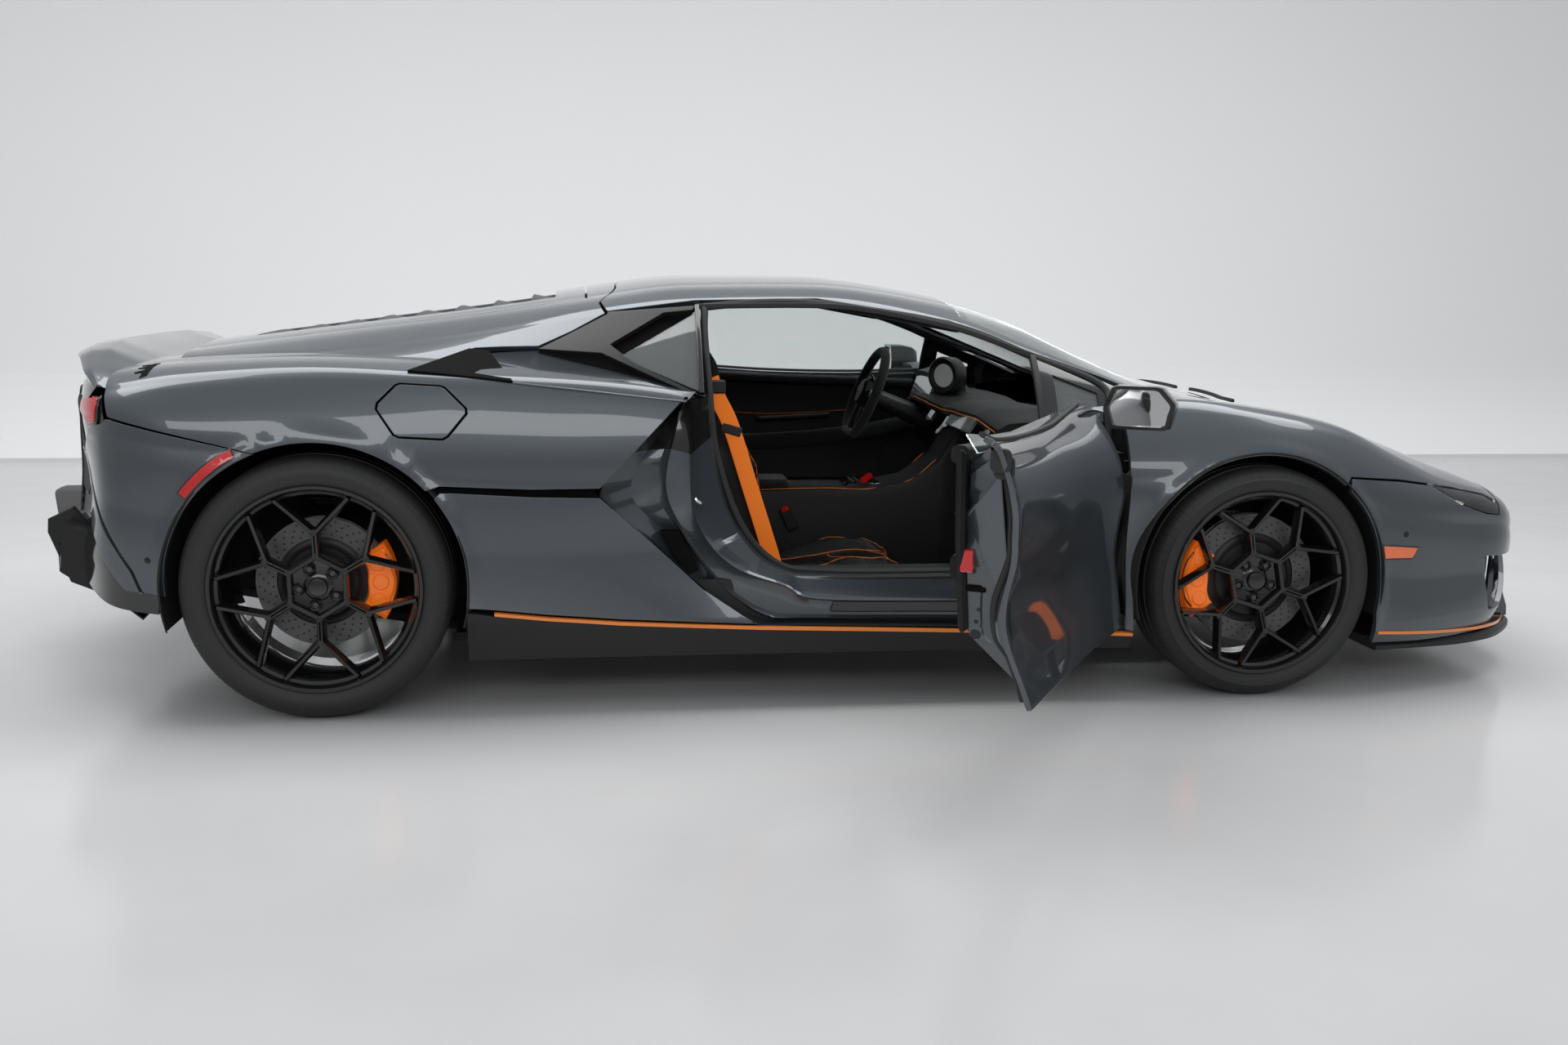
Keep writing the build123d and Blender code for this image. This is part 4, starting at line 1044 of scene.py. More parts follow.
def tyre_matter(name, cx, radius, half, track):
    made, n = material(name, "tyre")
    turn, r, y = wheel_polar(n, cx, radius)
    off = (y.abs() - track).abs()
    shoulder = n.step(off, half - .060, half - .055) * (r > radius - .030)
    sipe_at = (turn * 78.0 + y * 1.5).frac()
    sipes = n.step(sipe_at, 0.10, 0.16) * (1.0 - n.step(sipe_at, .84, .90))
    rings = ((r * 520.0).sin() * 0.5 + 0.5) * (r < radius - .062) * (r > radius - .068)
    flanks = ((turn * 220.0).frac() > 0.5) * (r < radius - .017) * (r > radius - .028) * 0.6
    grain = n.noise(900.0, 3.0)
    dusty = n.noise(9.0, 4.0)
    height = grain * 0.08 + shoulder * sipes + rings * 0.5 + flanks * 0.5
    n.surface(Base_Color=n.mix(dusty, grey(0.011), grey(0.021)), Roughness=dusty * 0.12 + 0.52,
              Normal=n.bump(height, 0.0016, 0.6))
    return made


def tyre(cx, radius, half, bead, track):
    """The closed outline is turned about the axle: side walls, shoulders and a grooved tread."""
    side = [(half - .015, bead + .004), (half - .014, bead + .012), (half - .008, bead + .020),
        (half - .0025, bead + .034), (half - .0015, (bead + radius) / 2 + .006),
        (half - .005, radius - .034), (half - .012, radius - .020), (half - .020, radius - .0125),
        (half - .032, radius - .006), (half - .045, radius - .0028)]
    tread = []
    for groove in (half * .52, half * .18):
        for a, deep in ((.006, 0), (.004, .0065), (-.004, .0065), (-.006, 0)):
            tread.append((groove + a, radius - .0022 * (groove / half) - deep - .0003))
    outer = side + tread
    outline = outer + [(-a, r) for a, r in reversed(outer)]
    return lathe(outline, (cx, track, radius), 144)


for end, (cx, radius, half, bead, track, disc, spoke) in AXLES.items():
    matter = tyre_matter(end + "_tyre_rubber", cx, radius, half, track)
    shell = tyre(cx, radius, half, bead, track)
    for side, turned in both:
        turned(shell).piece("tyre_tread_%s_%s" % (end, side), matter, "tyre_%s_%s" % (end, side),
                            body="%s_%s_wheel" % (end, side))

# ---------------------------------------------------------------- wheels
# Forged black wheels: a barrel, and six stems from a six-cornered hub ring, each forking into two thin
# blades; five bolt recesses round a plain centre cap.
wheel_black = grained("wheel_gloss_black", "wheel", 12.0, 3.0, grey(0.006), grey(0.011), 0.20, 0.06,
                      Coat_Weight=0.8, Specular_IOR_Level=0.25, Coat_Roughness=0.04)
bolt_steel = grained("bolt_steel", "steel", 60.0, 3.0, grey(0.05), grey(0.12), 0.3, 0.2, Metallic=0.9)


def blade_section(front, back, deep, groove=0.0):
    """The cross-section of a wheel spoke, widest at its foot."""
    top = [(-front, -.0035), (-front + .0018, 0)] + ([(-.002, 0), (0, -groove), (.002, 0)] if groove
        else []) + [(front - .0018, 0), (front, -.0035)]
    return [(-back, -deep)] + top + [(back, -deep)]


def wheel(cx, radius, half, bead, track, spoke):
    lip = half - .006
    made = lathe([(lip, bead + .012), (lip - .002, bead + .014), (-lip + .002, bead + .014),
        (-lip, bead + .012), (-lip, bead + .003), (-lip + .020, bead - .010), (half - .105, bead - .022),
        (half - .080, bead - .020), (half - .052, bead - .016), (half - .036, bead - .012),
        (half - .030, bead - .004), (lip - .004, bead + .001), (lip - .001, bead + .004)],
        (cx, track, radius), 120)
    face = {.245: half - .020, .150: half - .036, .084: half - .043}
    depths = sorted(face)

    def at(r, angle):
        a = math.radians(angle)
        return (cx + r * math.cos(a), track + np.interp(r, depths, [face[d] for d in depths]),
            radius + r * math.sin(a))

    def bar(a, b, section):
        points = np.array([np.array(a) + (np.array(b) - a) * s for s in np.linspace(0, 1, 5)])
        return sweep(points, section, up=(0, 1, 0))

    tip = bead - .007
    for k in range(6):
        angle = spoke + 60 * k
        made += bar(at(.080, angle), at(.153, angle), blade_section(.0085, .014, .034, .004))
        for side in (-1, 1):
            made += bar(at(.149, angle + side * .8), at(tip, angle + side * 21.5),
                blade_section(.0058, .0105, .030))
        made += bar(at(.084, angle), at(.084, angle + 60), blade_section(.0065, .010, .030))
        made += lathe([(-.030, .001), (-.030, .013), (-.004, .0105), (0, .0088), (0, .001)],
            at(.0855, angle), 16)
        made += lathe([(-.030, .001), (-.030, .012), (-.004, .0102), (0, .0084), (0, .001)],
            at(.152, angle), 16)
    centre = (cx, track, radius)
    made += lathe([(half - .100, .0005), (half - .100, .081), (half - .062, .081), (half - .066, .068),
                   (half - .068, .040), (half - .062, .030), (half - .060, .0005)], centre, 60)
    made += lathe([(half - .070, .0005), (half - .070, .027), (half - .050, .0265), (half - .047, .024),
                   (half - .045, .017), (half - .044, .0005)], centre, 48)
    recess = [(-.072, .0115), (-.072, .0175), (-.058, .0165), (-.056, .0145), (-.058, .0120)]
    return made + at_bolts(recess, cx, radius, half, track, spoke, 30)


def at_bolts(profile, cx, radius, half, track, spoke, segments):
    """A turned profile at each of the five bolts, its distances measured from the rim's edge."""
    turns = [math.radians(spoke + 12 + 72 * k) for k in range(5)]
    return joined(lathe([(half + d, r) for d, r in profile],
        (cx + .052 * math.cos(a), track, radius + .052 * math.sin(a)), segments) for a in turns)


bolt_head = [(-.072, .0005), (-.072, .0098), (-.064, .0098), (-.062, .0080), (-.062, .0005)]


for end, (cx, radius, half, bead, track, disc, spoke) in AXLES.items():
    shell = wheel(cx, radius, half, bead, track, spoke)
    bolts = at_bolts(bolt_head, cx, radius, half, track, spoke, 6)
    for side, turned in both:
        body = "%s_%s_wheel" % (end, side)
        turned(shell).piece("wheel_%s_%s" % (end, side), wheel_black, "rim_%s_%s" % (end, side), body=body)
        turned(bolts).piece("wheel_bolts_%s_%s" % (end, side), bolt_steel, body=body)

# ---------------------------------------------------------------- brakes
# Drilled ceramic discs bolted to black hats, which turn with the wheels, and cast calipers lacquered orange,
# with their pistons in a row. The front calipers steer with the hubs.
def disc_matter(name, cx, radius, disc):
    made, n = material(name, "steel")
    turn, r, _ = wheel_polar(n, cx, radius)
    dark = None
    # The drilled holes are near-black spots in the colour, with a bump: painted shade in the holes.
    for k, row in enumerate((disc - .046, disc - .034, disc - .022, disc - .010)):
        along = (turn * 30.0 + k * 0.37).frac() - 0.5
        spot = ((along * (2 * math.pi * row / 30.0)) ** 2 + (r - row) ** 2) ** 0.5
        painted_hole_shade = 1.0 - n.step(spot, .0024, .0032)
        dark = painted_hole_shade if dark is None else dark + painted_hole_shade
    brushed = n.noise(6.0, 4.0, n.scaled(n.place(), (60.0, 1.0, 60.0)))
    n.surface(Base_Color=n.mix(dark, n.mix(brushed, grey(0.085), grey(0.135)), grey(0.006)),
        Metallic=(1.0 - dark) * 0.55, Roughness=brushed * 0.15 + 0.34,
        Normal=n.bump(1.0 - dark, 0.001, 0.6))
    return made


# The orange emission makes the lacquer glow a little: painted light, as a caliper is no lamp.
caliper_orange, n = material("caliper_orange", "caliper")
tone = n.noise(50.0, 3.0)
n.surface(Base_Color=n.mix(tone, (1.0, 0.19, 0.008, 1), (1.0, 0.25, 0.012, 1)), Roughness=tone * 0.08 + 0.26,
          Emission_Color=n.mix(tone, (1.0, 0.13, 0.004, 1), (1.0, 0.17, 0.006, 1)), Emission_Strength=0.22,
          Coat_Weight=0.5, Coat_Roughness=0.08)


def brake_disc(cx, radius, track, disc):
    friction = lathe([(-.003, disc - .056), (-.003, disc), (.008, disc), (.009, disc - .003),
        (.015, disc - .003), (.016, disc), (.027, disc), (.027, disc - .056)], (cx, track, radius), 96)
    hat = lathe([(-.001, .040), (-.001, disc - .052), (.022, disc - .052), (.022, disc - .066),
        (.030, disc - .078), (.036, disc - .082), (.036, .040)], (cx, track, radius), 72)
    return friction, hat


def caliper(cx, radius, track, disc, middle):
    """Two halves astride the disc, bridged over its edge, round an angle from the axle in degrees."""
    def sector(r0, r1, spread, y0, y1, bevel=.004):
        angles = np.radians(np.linspace(middle - spread, middle + spread, 17))
        outline = [(r1(a) * math.cos(a), r1(a) * math.sin(a)) for a in angles] \
            + [(r0(a) * math.cos(a), r0(a) * math.sin(a)) for a in angles[::-1]]
        return prism(outline, y1 - y0, bevel, facing((cx, y1, radius), (1, 0, 0), (0, 0, 1)))

    def swell(base, amount):
        return lambda a: base + amount * math.cos((a - math.radians(middle)) * 9.0)

    def spot(lean, reach):
        a = math.radians(middle + lean)
        return (cx + (disc + reach) * math.cos(a), track, radius + (disc + reach) * math.sin(a))

    piston = [(.030, .0005), (.030, .024), (.050, .0225), (.0525, .019), (.0525, .0005)]
    bolt = [(.040, .0005), (.040, .009), (.0535, .0085), (.0545, .006), (.0545, .0005)]
    return joined([
        sector(swell(disc - .052, -.003), swell(disc + .014, .004), 31, track + .031, track + .048),
        sector(swell(disc - .040, .0), swell(disc + .020, .0), 33, track - .024, track + .041),
        sector(swell(disc - .052, .0), swell(disc + .014, .0), 31, track - .032, track - .008),
        *[lathe(piston, spot(lean, -.020), 32) for lean in (-19, 0, 19)],
        *[lathe(bolt, spot(lean, .006), 20) for lean in (-27, 27)]])


def caliper_pipe(cx, radius, track, disc, middle):
    points = []
    for lean, r in ((-24, .010), (-14, .020), (0, .024), (14, .020), (24, .010)):
        a = math.radians(middle + lean)
        points.append((cx + (disc + r) * math.cos(a), track + .045, radius + (disc + r) * math.sin(a)))
    return sweep(curve(points, 8), ring(.0024, 8), up=(0, 1, 0))


for end, (cx, radius, half, bead, track, disc, spoke) in AXLES.items():
    matter = disc_matter(end + "_brake_disc", cx, radius, disc)
    friction, hat = brake_disc(cx, radius, track, disc)
    middle = {"front": 180, "rear": 0}[end]
    grip, pipe = caliper(cx, radius, track, disc, middle), caliper_pipe(cx, radius, track, disc, middle)
    for side, turned in both:
        body = "%s_%s_wheel" % (end, side)
        holder = "body_shell" if end == "rear" else side + "_hub"
        stands_for = ["calipers_rear"] if end == "rear" else ["caliper_front_" + side]
        turned(friction).piece("disc_%s_%s" % (end, side), matter, body=body)
        turned(hat).piece("disc_hat_%s_%s" % (end, side), black_satin, body=body, slot="wheel")
        turned(grip).piece("caliper_body_%s_%s" % (end, side), caliper_orange, *stands_for, body=holder)
        turned(pipe).piece("caliper_pipe_%s_%s" % (end, side), gloss_black, body=holder)

# ---------------------------------------------------------------- doors
# Each door: a sculpted outer skin, painted shut faces stepped for the seal, and a trimmed inner side.
# The right one stands open, swung forwards and out round its front hinge.
hinge = joint_at["door_right_hinge"]
door_open_angle = math.radians(60)
swing = (Matrix.Translation((hinge.x, hinge.y, 0)) @ Matrix.Rotation(door_open_angle, 4, "Z")
         @ Matrix.Translation((-hinge.x, -hinge.y, 0)))
door_sides = (("left", lambda shell: shell), ("right", lambda shell: shell.mirrored().moved(swing)))


def on_doors(shell, name, matter, node=None):
    """The piece on the left door, and its mirror image on the open right one."""
    for side, placed in door_sides:
        nodes = [node + side] if node else []
        placed(shell).piece(name + "_" + side, matter, *nodes, body=side + "_door")


black_leather, n = material("black_leather", "leather")
pebble = n.cells(420.0, output=0)
wear = n.noise(14.0, 3.0)
n.surface(Base_Color=n.mix(wear, grey(0.006), grey(0.012)), Roughness=wear * 0.12 + 0.48,
    Specular_IOR_Level=0.28, Normal=n.bump(pebble, 0.0006, 0.35))
suede, n = material("black_suede", "leather")
nap = n.noise(240.0, 5.0)
n.surface(Base_Color=n.mix(n.noise(7.0, 3.0), grey(0.009), grey(0.017)), Roughness=0.95, Sheen_Weight=0.15,
          Normal=n.bump(nap, 0.0005, 0.4))
thread = grained("orange_thread", "accent", 2200.0, 2.0, (0.80, 0.18, 0.02, 1), (0.90, 0.26, 0.03, 1), 0.7)
mirror_glass = grained("mirror_glass", "gloss_black", 3.0, 2.0, grey(0.80), grey(0.84), 0.02, Metallic=1.0)
# The faint red emission is a painted glow on the reflector and the other red parts in this material.
red_glass, n = material("red_reflector", "red_lamp")
cube = n.cells(700.0, output=0)
n.surface(Base_Color=n.mix(cube, (0.42, 0.002, 0.002, 1), (0.62, 0.006, 0.005, 1)),
    Roughness=cube * 0.1 + 0.15, Coat_Weight=1.0, Coat_Roughness=0.03, Emission_Color=(0.5, 0.0, 0.0, 1),
    Emission_Strength=0.04)
chrome = grained("polished_steel", "steel", 30.0, 2.0, grey(0.55), grey(0.68), 0.14, Metallic=1.0)

door_top = above((.918, .806), (.458, .836), (.064, .846), (-.292, .852))
door_skin = panel(body_skin, [*flank((-.152, .246), (.918, .212), (.918, .812)), *door_top,
    *flank((-.299, .872), (-.240, .640))], depth=0.010, gap=0.004)
on_doors(door_skin, "door_skin", paint, "door_")

door_inner, door_thin, door_tail_inner = .790, .902, .888
door_edge = spaced([(-.148, .250), (.914, .215), (.914, .795), (.458, .818), (.064, .830), (-.284, .850),
    (-.235, .640)])


def skin_y(x, z):
    return float(body_skin.at(x, body_skin.t_side(x, z))[1])


def door_inner_y(x, z):
    """How far in the door reaches: thin over the sill and behind the rear edge of the opening."""
    y = np.interp(z, [.372, .400], [door_thin, door_inner])
    return float(max(y, np.interp(x, [-.210, -.185], [door_tail_inner, door_inner])))


def door_ring(inset, share, sunk=0.0):
    """The door's outline drawn in, at a share of the way from the outer skin to the inner side."""
    loop = drawn_in(np.array(door_edge), inset)
    rows = []
    for x, z in loop:
        outer = skin_y(x, z) - .012
        rows.append((x, outer + (min(door_inner_y(x, z), outer - .006) - outer) * share - sunk, z))
    return rows


shut_face = loft([door_ring(.001, 0), door_ring(.001, .10), door_ring(.006, .16), door_ring(.022, .17),
                  door_ring(.030, .22), door_ring(.031, .55), door_ring(.036, .62), door_ring(.037, .95),
                  door_ring(.044, 1.0), door_ring(.060, 1.0)], capped=False)
on_doors(shut_face, "door_shut_face", paint)
inner_outline = drawn_in(np.array(door_edge), .058)
inner_side = side_sheet([tuple(v) for v in inner_outline],
    lambda x, z: min(door_inner_y(x, z), skin_y(x, z) - .02))
on_doors(inner_side, "door_inner_sheet", paint)
door_seal = sweep(np.array(door_ring(.018, .17, .004)), ring(.0085, 10), up=(0, 1, 0), closed=True)
on_doors(door_seal, "door_edge_seal", rubber)

card_outline = spaced([(-.165, .410), (.880, .410), (.890, .600), (.880, .792), (.458, .812), (.064, .822),
                       (-.225, .838), (-.215, .640)], .03)
card = prism(drawn_in(np.array(card_outline), .004), .022, .008,
    facing((0, door_inner + .004, 0), (1, 0, 0), (0, 0, 1)))
on_doors(card, "door_card", black_leather)
arm_path = curve([(-.150, .770, .560), (.150, .762, .570), (.450, .758, .600), (.700, .764, .650)], 8)
armrest = sweep(arm_path, rounded(.046, .058, .016), up=(0, 0, 1))
on_doors(armrest, "door_armrest", suede)
card_roll = sweep(curve([(-.200, .776, .822), (.100, .772, .806), (.450, .770, .796), (.860, .774, .776)], 8),
                  rounded(.040, .040, .014))
on_doors(card_roll, "door_top_roll", black_leather)
speaker = lathe([(-.008, .0005), (-.008, .078), (.006, .080), (.010, .088), (.004, .094), (-.002, .094),
    (-.002, .0005)], (.640, .768, .500), 48)
on_doors(speaker, "door_speaker", black_satin)
stitch_line = curve([(-.190, .749, .690), (.100, .747, .672), (.450, .746, .690), (.840, .748, .720)], 12)
on_doors(sweep(stitch_line + [0, .0188, 0], ring(.0011, 6)), "door_stitching", thread)
pull = sweep(curve([(.050, .764, .650), (.080, .738, .655), (.300, .736, .668), (.330, .764, .672)], 8),
    ring(.010, 10))
on_doors(pull, "door_pull", black_leather)

belt_line = body_skin.at(np.linspace(.912, -.288, 40), [
    body_skin.t_plan(x, np.interp(x, [-.292, .064, .458, .918], [.852, .846, .836, .806]) - .004)
    for x in np.linspace(.912, -.288, 40)])
belt_strip = sweep(belt_line + [0, 0, .003], rounded(.014, .010, .003))
on_doors(belt_strip, "door_belt_seal", rubber)

# the rear shut face carries the latch, a red reflector, plugs and two rubber pads
def on_shut_face(z, y_share):
    """A point on the door's rear shut face."""
    x = float(np.interp(z, [.250, .640, .850], [-.148, -.235, -.284]))
    outer = skin_y(x, z) - .012
    inner = door_inner_y(x + .06, z)
    return np.array([x + .036, outer + (inner - outer) * y_share, z])


reflector = block((-.010, -.014, -.026), (.006, .014, .026), .003)
at = on_shut_face(.585, .93)
on_doors(reflector.moved(Matrix.Translation(at)), "door_reflector", red_glass)
latch = block((-.006, -.022, -.007), (.002, .022, .007), .002)
on_doors(latch.moved(Matrix.Translation(on_shut_face(.520, .72))), "door_latch", black_and_painted_shade)
plug_at = [(.560, .80, .005), (.470, .66, .005), (.440, .74, .005), (.432, .60, .005), (.410, .78, .013)]
plugs = joined(lathe([(-.004, .0004), (-.004, radius), (.001, radius * .9), (.002, .0004)], (0, 0, 0), 20,
    "X").moved(Matrix.Translation(on_shut_face(z, share)) @ Matrix.Rotation(math.pi, 4, "Z"))
    for z, share, radius in plug_at)
on_doors(plugs, "door_plugs", rubber)
shut_tree = BVHTree.FromObject(bpy.data.objects["door_shut_face_left"], bpy.context.evaluated_depsgraph_get())


def pad_at(z, share):
    """A rubber pad on the shut face, where a line from behind meets it."""
    start = Vector((-.8, on_shut_face(z, share)[1], z))
    point, normal, *_ = shut_tree.ray_cast(start, Vector((1, 0, 0)))
    return prism(rounded(.046, .052, .014), .010, .003, facing(point - normal * .004, (0, -1, 0), (0, 0, 1)))


on_doors(pad_at(.822, .40) + pad_at(.806, .74), "door_pads", rubber)

# side glass: shut on the left, wound down on the right; behind the screen pillar a fixed quarter light
pane_front = .690
pane = panel(cabin_skin, flank((pane_front, .795), (pane_front, .976), (.458, 1.062), (.064, 1.122),
    (-.282, 1.113), (-.278, .840)), gap=0.0, depth=0.003, lift=-0.006, spacing=0.03)
pane.piece("side_glass_left", glass, "door_glass_left", body="left_door")
low_pane = panel(cabin_skin, flank((pane_front, .795), (pane_front, .850), (.100, .850), (-.120, .862),
    (-.276, .880), (-.278, .840)), gap=0.0, depth=0.003, lift=-0.006, lip=0.0004, spacing=0.03)
low_pane.mirrored().moved(swing).piece("side_glass_right", glass, "door_glass_right", body="right_door")
light_frame = panel(cabin_skin, flank((.700, .792), (.700, .979), (.902, .912), (1.080, .838),
    (1.080, .806), (.902, .792)), holes=[flank((.752, .812), (.752, .925), (.880, .876), (.880, .812))],
    gap=0.001, depth=0.010, lift=-0.004)
both_sides(light_frame, "quarter_light_frame", gloss_black)
light_pane = panel(cabin_skin, flank((.745, .806), (.745, .932), (.886, .880), (.886, .806)),
    gap=0.0, depth=0.002, lift=-0.010)
both_sides(light_pane, "quarter_light_glass", glass)
post = sweep(cabin_skin.at(np.full(12, .700), np.linspace(.02, .96, 12)) - [0, .006, 0],
             rounded(.020, .018, .004), up=(1, 0, 0))
both_sides(post, "quarter_light_post", rubber)
window_trim = cabin_skin.at(np.linspace(.702, -.290, 60), np.full(60, .955)) - [0, .003, 0]
both_sides(sweep(window_trim, rounded(.016, .014, .003), up=(0, 1, 0)), "window_top_trim", rubber)
rear_post = cabin_skin.at(np.full(14, -.289), np.linspace(.16, .95, 14)) - [0, .002, 0]
both_sides(sweep(rear_post, rounded(.020, .014, .003), up=(1, 0, 0)), "window_rear_trim", gloss_black)

# mirrors: a six-cornered black housing on a painted arm, its glass facing back
mirror_corner = [(.930, .868), (.955, .930), (1.082, .930), (1.123, .884), (1.106, .815), (.948, .815)]
mirror_middle = np.array([1.026, .872])


def mirror_ring(x, scale, shift=0.0):
    loop = []
    for a, b in zip(mirror_corner, mirror_corner[1:] + mirror_corner[:1]):
        for s in (.08, .5, .92):
            loop.append(np.array(a) * (1 - s) + np.array(b) * s)
    return [(x, *(mirror_middle + (p - mirror_middle) * scale + [0, shift])) for p in loop]


housing = loft([mirror_ring(.626, .80), mirror_ring(.612, .84), mirror_ring(.612, .98),
    mirror_ring(.620, 1.0), mirror_ring(.660, 1.0), mirror_ring(.700, .90, -.002),
    mirror_ring(.722, .68, -.004), mirror_ring(.731, .36, -.006)])
on_doors(housing, "mirror_housing", gloss_black, "mirror_")
on_doors(loft([mirror_ring(.6255, .81), mirror_ring(.6235, .81)]), "mirror_glass", mirror_glass)
arm = sweep(curve([(.722, .862, .838), (.705, .905, .858), (.684, .955, .852), (.672, .985, .850)], 8),
            [(-.034, 0), (-.026, .007), (.026, .008), (.036, 0), (.026, -.007), (-.026, -.006)])
on_doors(arm, "mirror_arm", paint)

# ---------------------------------------------------------------- door openings
# The painted jamb behind and under each door, stepped in ridges from the wing's edge to the seal, with the
# black mouth of the side intake, a bare black step plate and the door striker.
stations = [(-.330, -.575, -.430, -.290, -.158, .000, .420, .918),
            (.877, .612, .470, .340, .242, .231, .219, .204)]
ridge_one = [(-.345, -.402, -.352, -.247, -.116, .020, .420, .918),
    (.862, .640, .500, .350, .258, .246, .238, .224)]
ridge_two = [(-.318, -.325, -.296, -.207, -.060, .040, .420, .916),
    (.862, .620, .500, .398, .340, .300, .290, .285)]
seal_line = [(-.268, -.247, -.203, -.130, -.052, .050, .420, .900),
    (.868, .690, .540, .430, .376, .362, .356, .362)]


def jamb_curve(rows, y_at):
    points = curve([(x, 0, z) for x, z in zip(*rows)], 12)
    return np.array([(x, y_at(x, z), z) for x, _, z in points])


edge_line = jamb_curve(stations, lambda x, z: skin_y(x, z) - .010)
first = jamb_curve(ridge_one, lambda x, z: skin_y(x, z) - .034)
second = jamb_curve(ridge_two, lambda x, z: .904)
inner = jamb_curve(seal_line, lambda x, z: .806)
out = np.array([0, 1.0, 0])
keep_out = second * [1, 0, 1] + [0, .862, 0]
keep_out[:, 1] = np.where(second[:, 2] < .45, .893, .862)
shoulder = inner * .86 + keep_out * .14
shoulder[:, 1] = keep_out[:, 1]
jamb_rows = [edge_line, edge_line * .96 + first * .04 - .030 * out,
    edge_line * .5 + first * .5 - .048 * out, first * .9 + edge_line * .1 - .020 * out, first,
    first * .88 + second * .12 - .012 * out, first * .5 + second * .5 - .012 * out,
    second * .9 + first * .1 - .002 * out, second + .006 * out, second * .85 + shoulder * .15,
    second * .45 + shoulder * .55, shoulder, inner * .95 + shoulder * .05, inner]
jamb_ring = np.stack(jamb_rows + [inner - .006 * out, edge_line - .060 * out], 1)
black_until = 7
both_sides(loft(jamb_ring[black_until:], capped=False), "door_jamb", paint)
both_sides(loft(jamb_ring[:black_until + 1], capped=False), "intake_cheek", gloss_black)


def side_plate(points, y, depth=.006, bevel=.0015):
    """A flat plate in a side-view outline, its outer face at y."""
    return prism(points, depth, bevel, facing((0, y, 0), (1, 0, 0), (0, 0, 1)))


# The duct is a near-black plate: painted shade in its opening.
duct = side_plate([(-.408, .497), (-.356, .497), (-.300, .385), (-.337, .368)], .902, .030)
both_sides(duct, "intake_duct", black_and_painted_shade)
tread_at = range(62, 80)
tread = loft([[first[i] * (1 - s) + second[i] * s + [0, -.012 * (1 - abs(2 * s - 1)) + lift, lift]
    for s, lift in ((.30, .0), (.30, .004), (.80, .004), (.80, .0))] for i in tread_at])
both_sides(tread, "step_plate", gloss_black)
striker = sweep(curve([(-.322, .862, .592), (-.318, .892, .590), (-.296, .894, .574), (-.290, .862, .572)],
    6), ring(.0045, 8))
striker_plate = side_plate([(-.336, .600), (-.312, .618), (-.276, .562), (-.298, .548)], .884, .012)
both_sides(striker + striker_plate, "door_striker", chrome)

# ---------------------------------------------------------------- seats
# Two sports seats in black leather with orange seams: foam cushions with side bolsters, swollen by a short
# cloth simulation, and the sewn seams laid on afterwards.
seat_y, seat_half = .375, .222
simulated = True


def foam(name, shell, cap, matter, voxel=.006):
    """A cushion swollen under its cover; none of its points moves further than cap."""
    raw = shell.piece(name + "_raw", matter, slot="")
    remesh = raw.modifiers.new("even", "REMESH")
    remesh.mode = "VOXEL"
    remesh.voxel_size = voxel
    even = bpy.data.meshes.new_from_object(raw.evaluated_get(bpy.context.evaluated_depsgraph_get()))
    bpy.data.objects.remove(raw)
    made = bpy.data.objects.new(name, even)
    scene.collection.objects.link(made)
    before = np.array([v.co for v in even.vertices])
    if simulated:
        cloth = made.modifiers.new("swell", "CLOTH")
        cloth.settings.use_pressure = True
        cloth.settings.uniform_pressure_force = 4.0
        cloth.settings.effector_weights.gravity = 0.0
        cloth.settings.quality = 4
        cloth.point_cache.frame_end = 20
        for step in range(1, 21):
            scene.frame_set(step)
        after = made.evaluated_get(bpy.context.evaluated_depsgraph_get()).data
        moved = np.array([v.co for v in after.vertices]) - before
        made.modifiers.remove(cloth)
        scene.frame_set(1)
        length = np.linalg.norm(moved, axis=1, keepdims=True) + 1e-9
        even.vertices.foreach_set("co", (before + moved * np.minimum(1, cap / length)).ravel())
        even.update()
    even.materials.clear()
    even.materials.append(matter)
    even.polygons.foreach_set("use_smooth", [True] * len(even.polygons))
    return made


def base_ring(v):
    """A cross-section of the seat cushion from back to front, at v from -1 to 1 across it."""
    bolster = max(0.0, 1 - abs(abs(v) - .82) / .22) ** 0.8 * .074
    edge = max(0.0, abs(v) - .93) * .30
    line = [(-.030, .278), (.060, .276), (.180, .286), (.300, .304), (.372, .306), (.388, .280), (.384, .225),
            (.360, .196), (.050, .196), (-.030, .200)]
    y = seat_y + v * (seat_half - .012)
    rise = [bolster * np.interp(x, [-.03, .10, .18, .30, .38], [.45, 1, 1, .62, .20]) if z > .27 else 0
        for x, z in line]
    return [(x, y, z - edge + up) for (x, z), up in zip(line, rise)]


def back_half(u):
    """Half the seat back's width at a level."""
    return np.interp(u, [0, .15, .52, .66, .76, .84, .95, 1], [.205, .212, .212, .180, .120, .118, .108,
        .085])


def back_ring(u):
    """A level of the seat back from its foot, 0, to the top of its head rest, 1."""
    front = np.array([-.066 - .165 * u, .300 + .695 * u])
    rear = np.array([np.interp(u, [0, .5, 1], [-.185, -.340, -.318]), front[1] + .010])
    half = back_half(u)
    hollow = np.interp(u, [0, .1, .6, .72, .8], [.02, .22, .22, .10, .02])
    wing = np.interp(u, [0, .12, .5, .68, .76, .84], [.0, .34, .30, .12, .0, .0])
    near = [(1, .50), (.98, .84 + wing), (.86, .98 + wing), (.70, .95 + wing * .5), (.52, .95 - hollow),
            (.26, .94 - hollow * 1.1)]
    around = [(-v, f) for v, f in near] + [(0, .94 - hollow * 1.15)] + near[::-1]
    around += [(.94, .18), (.6, .03), (0, .0), (-.6, .03), (-.94, .18)]
    return [(*(rear + (front - rear) * f), seat_y + v * half) for v, f in around]


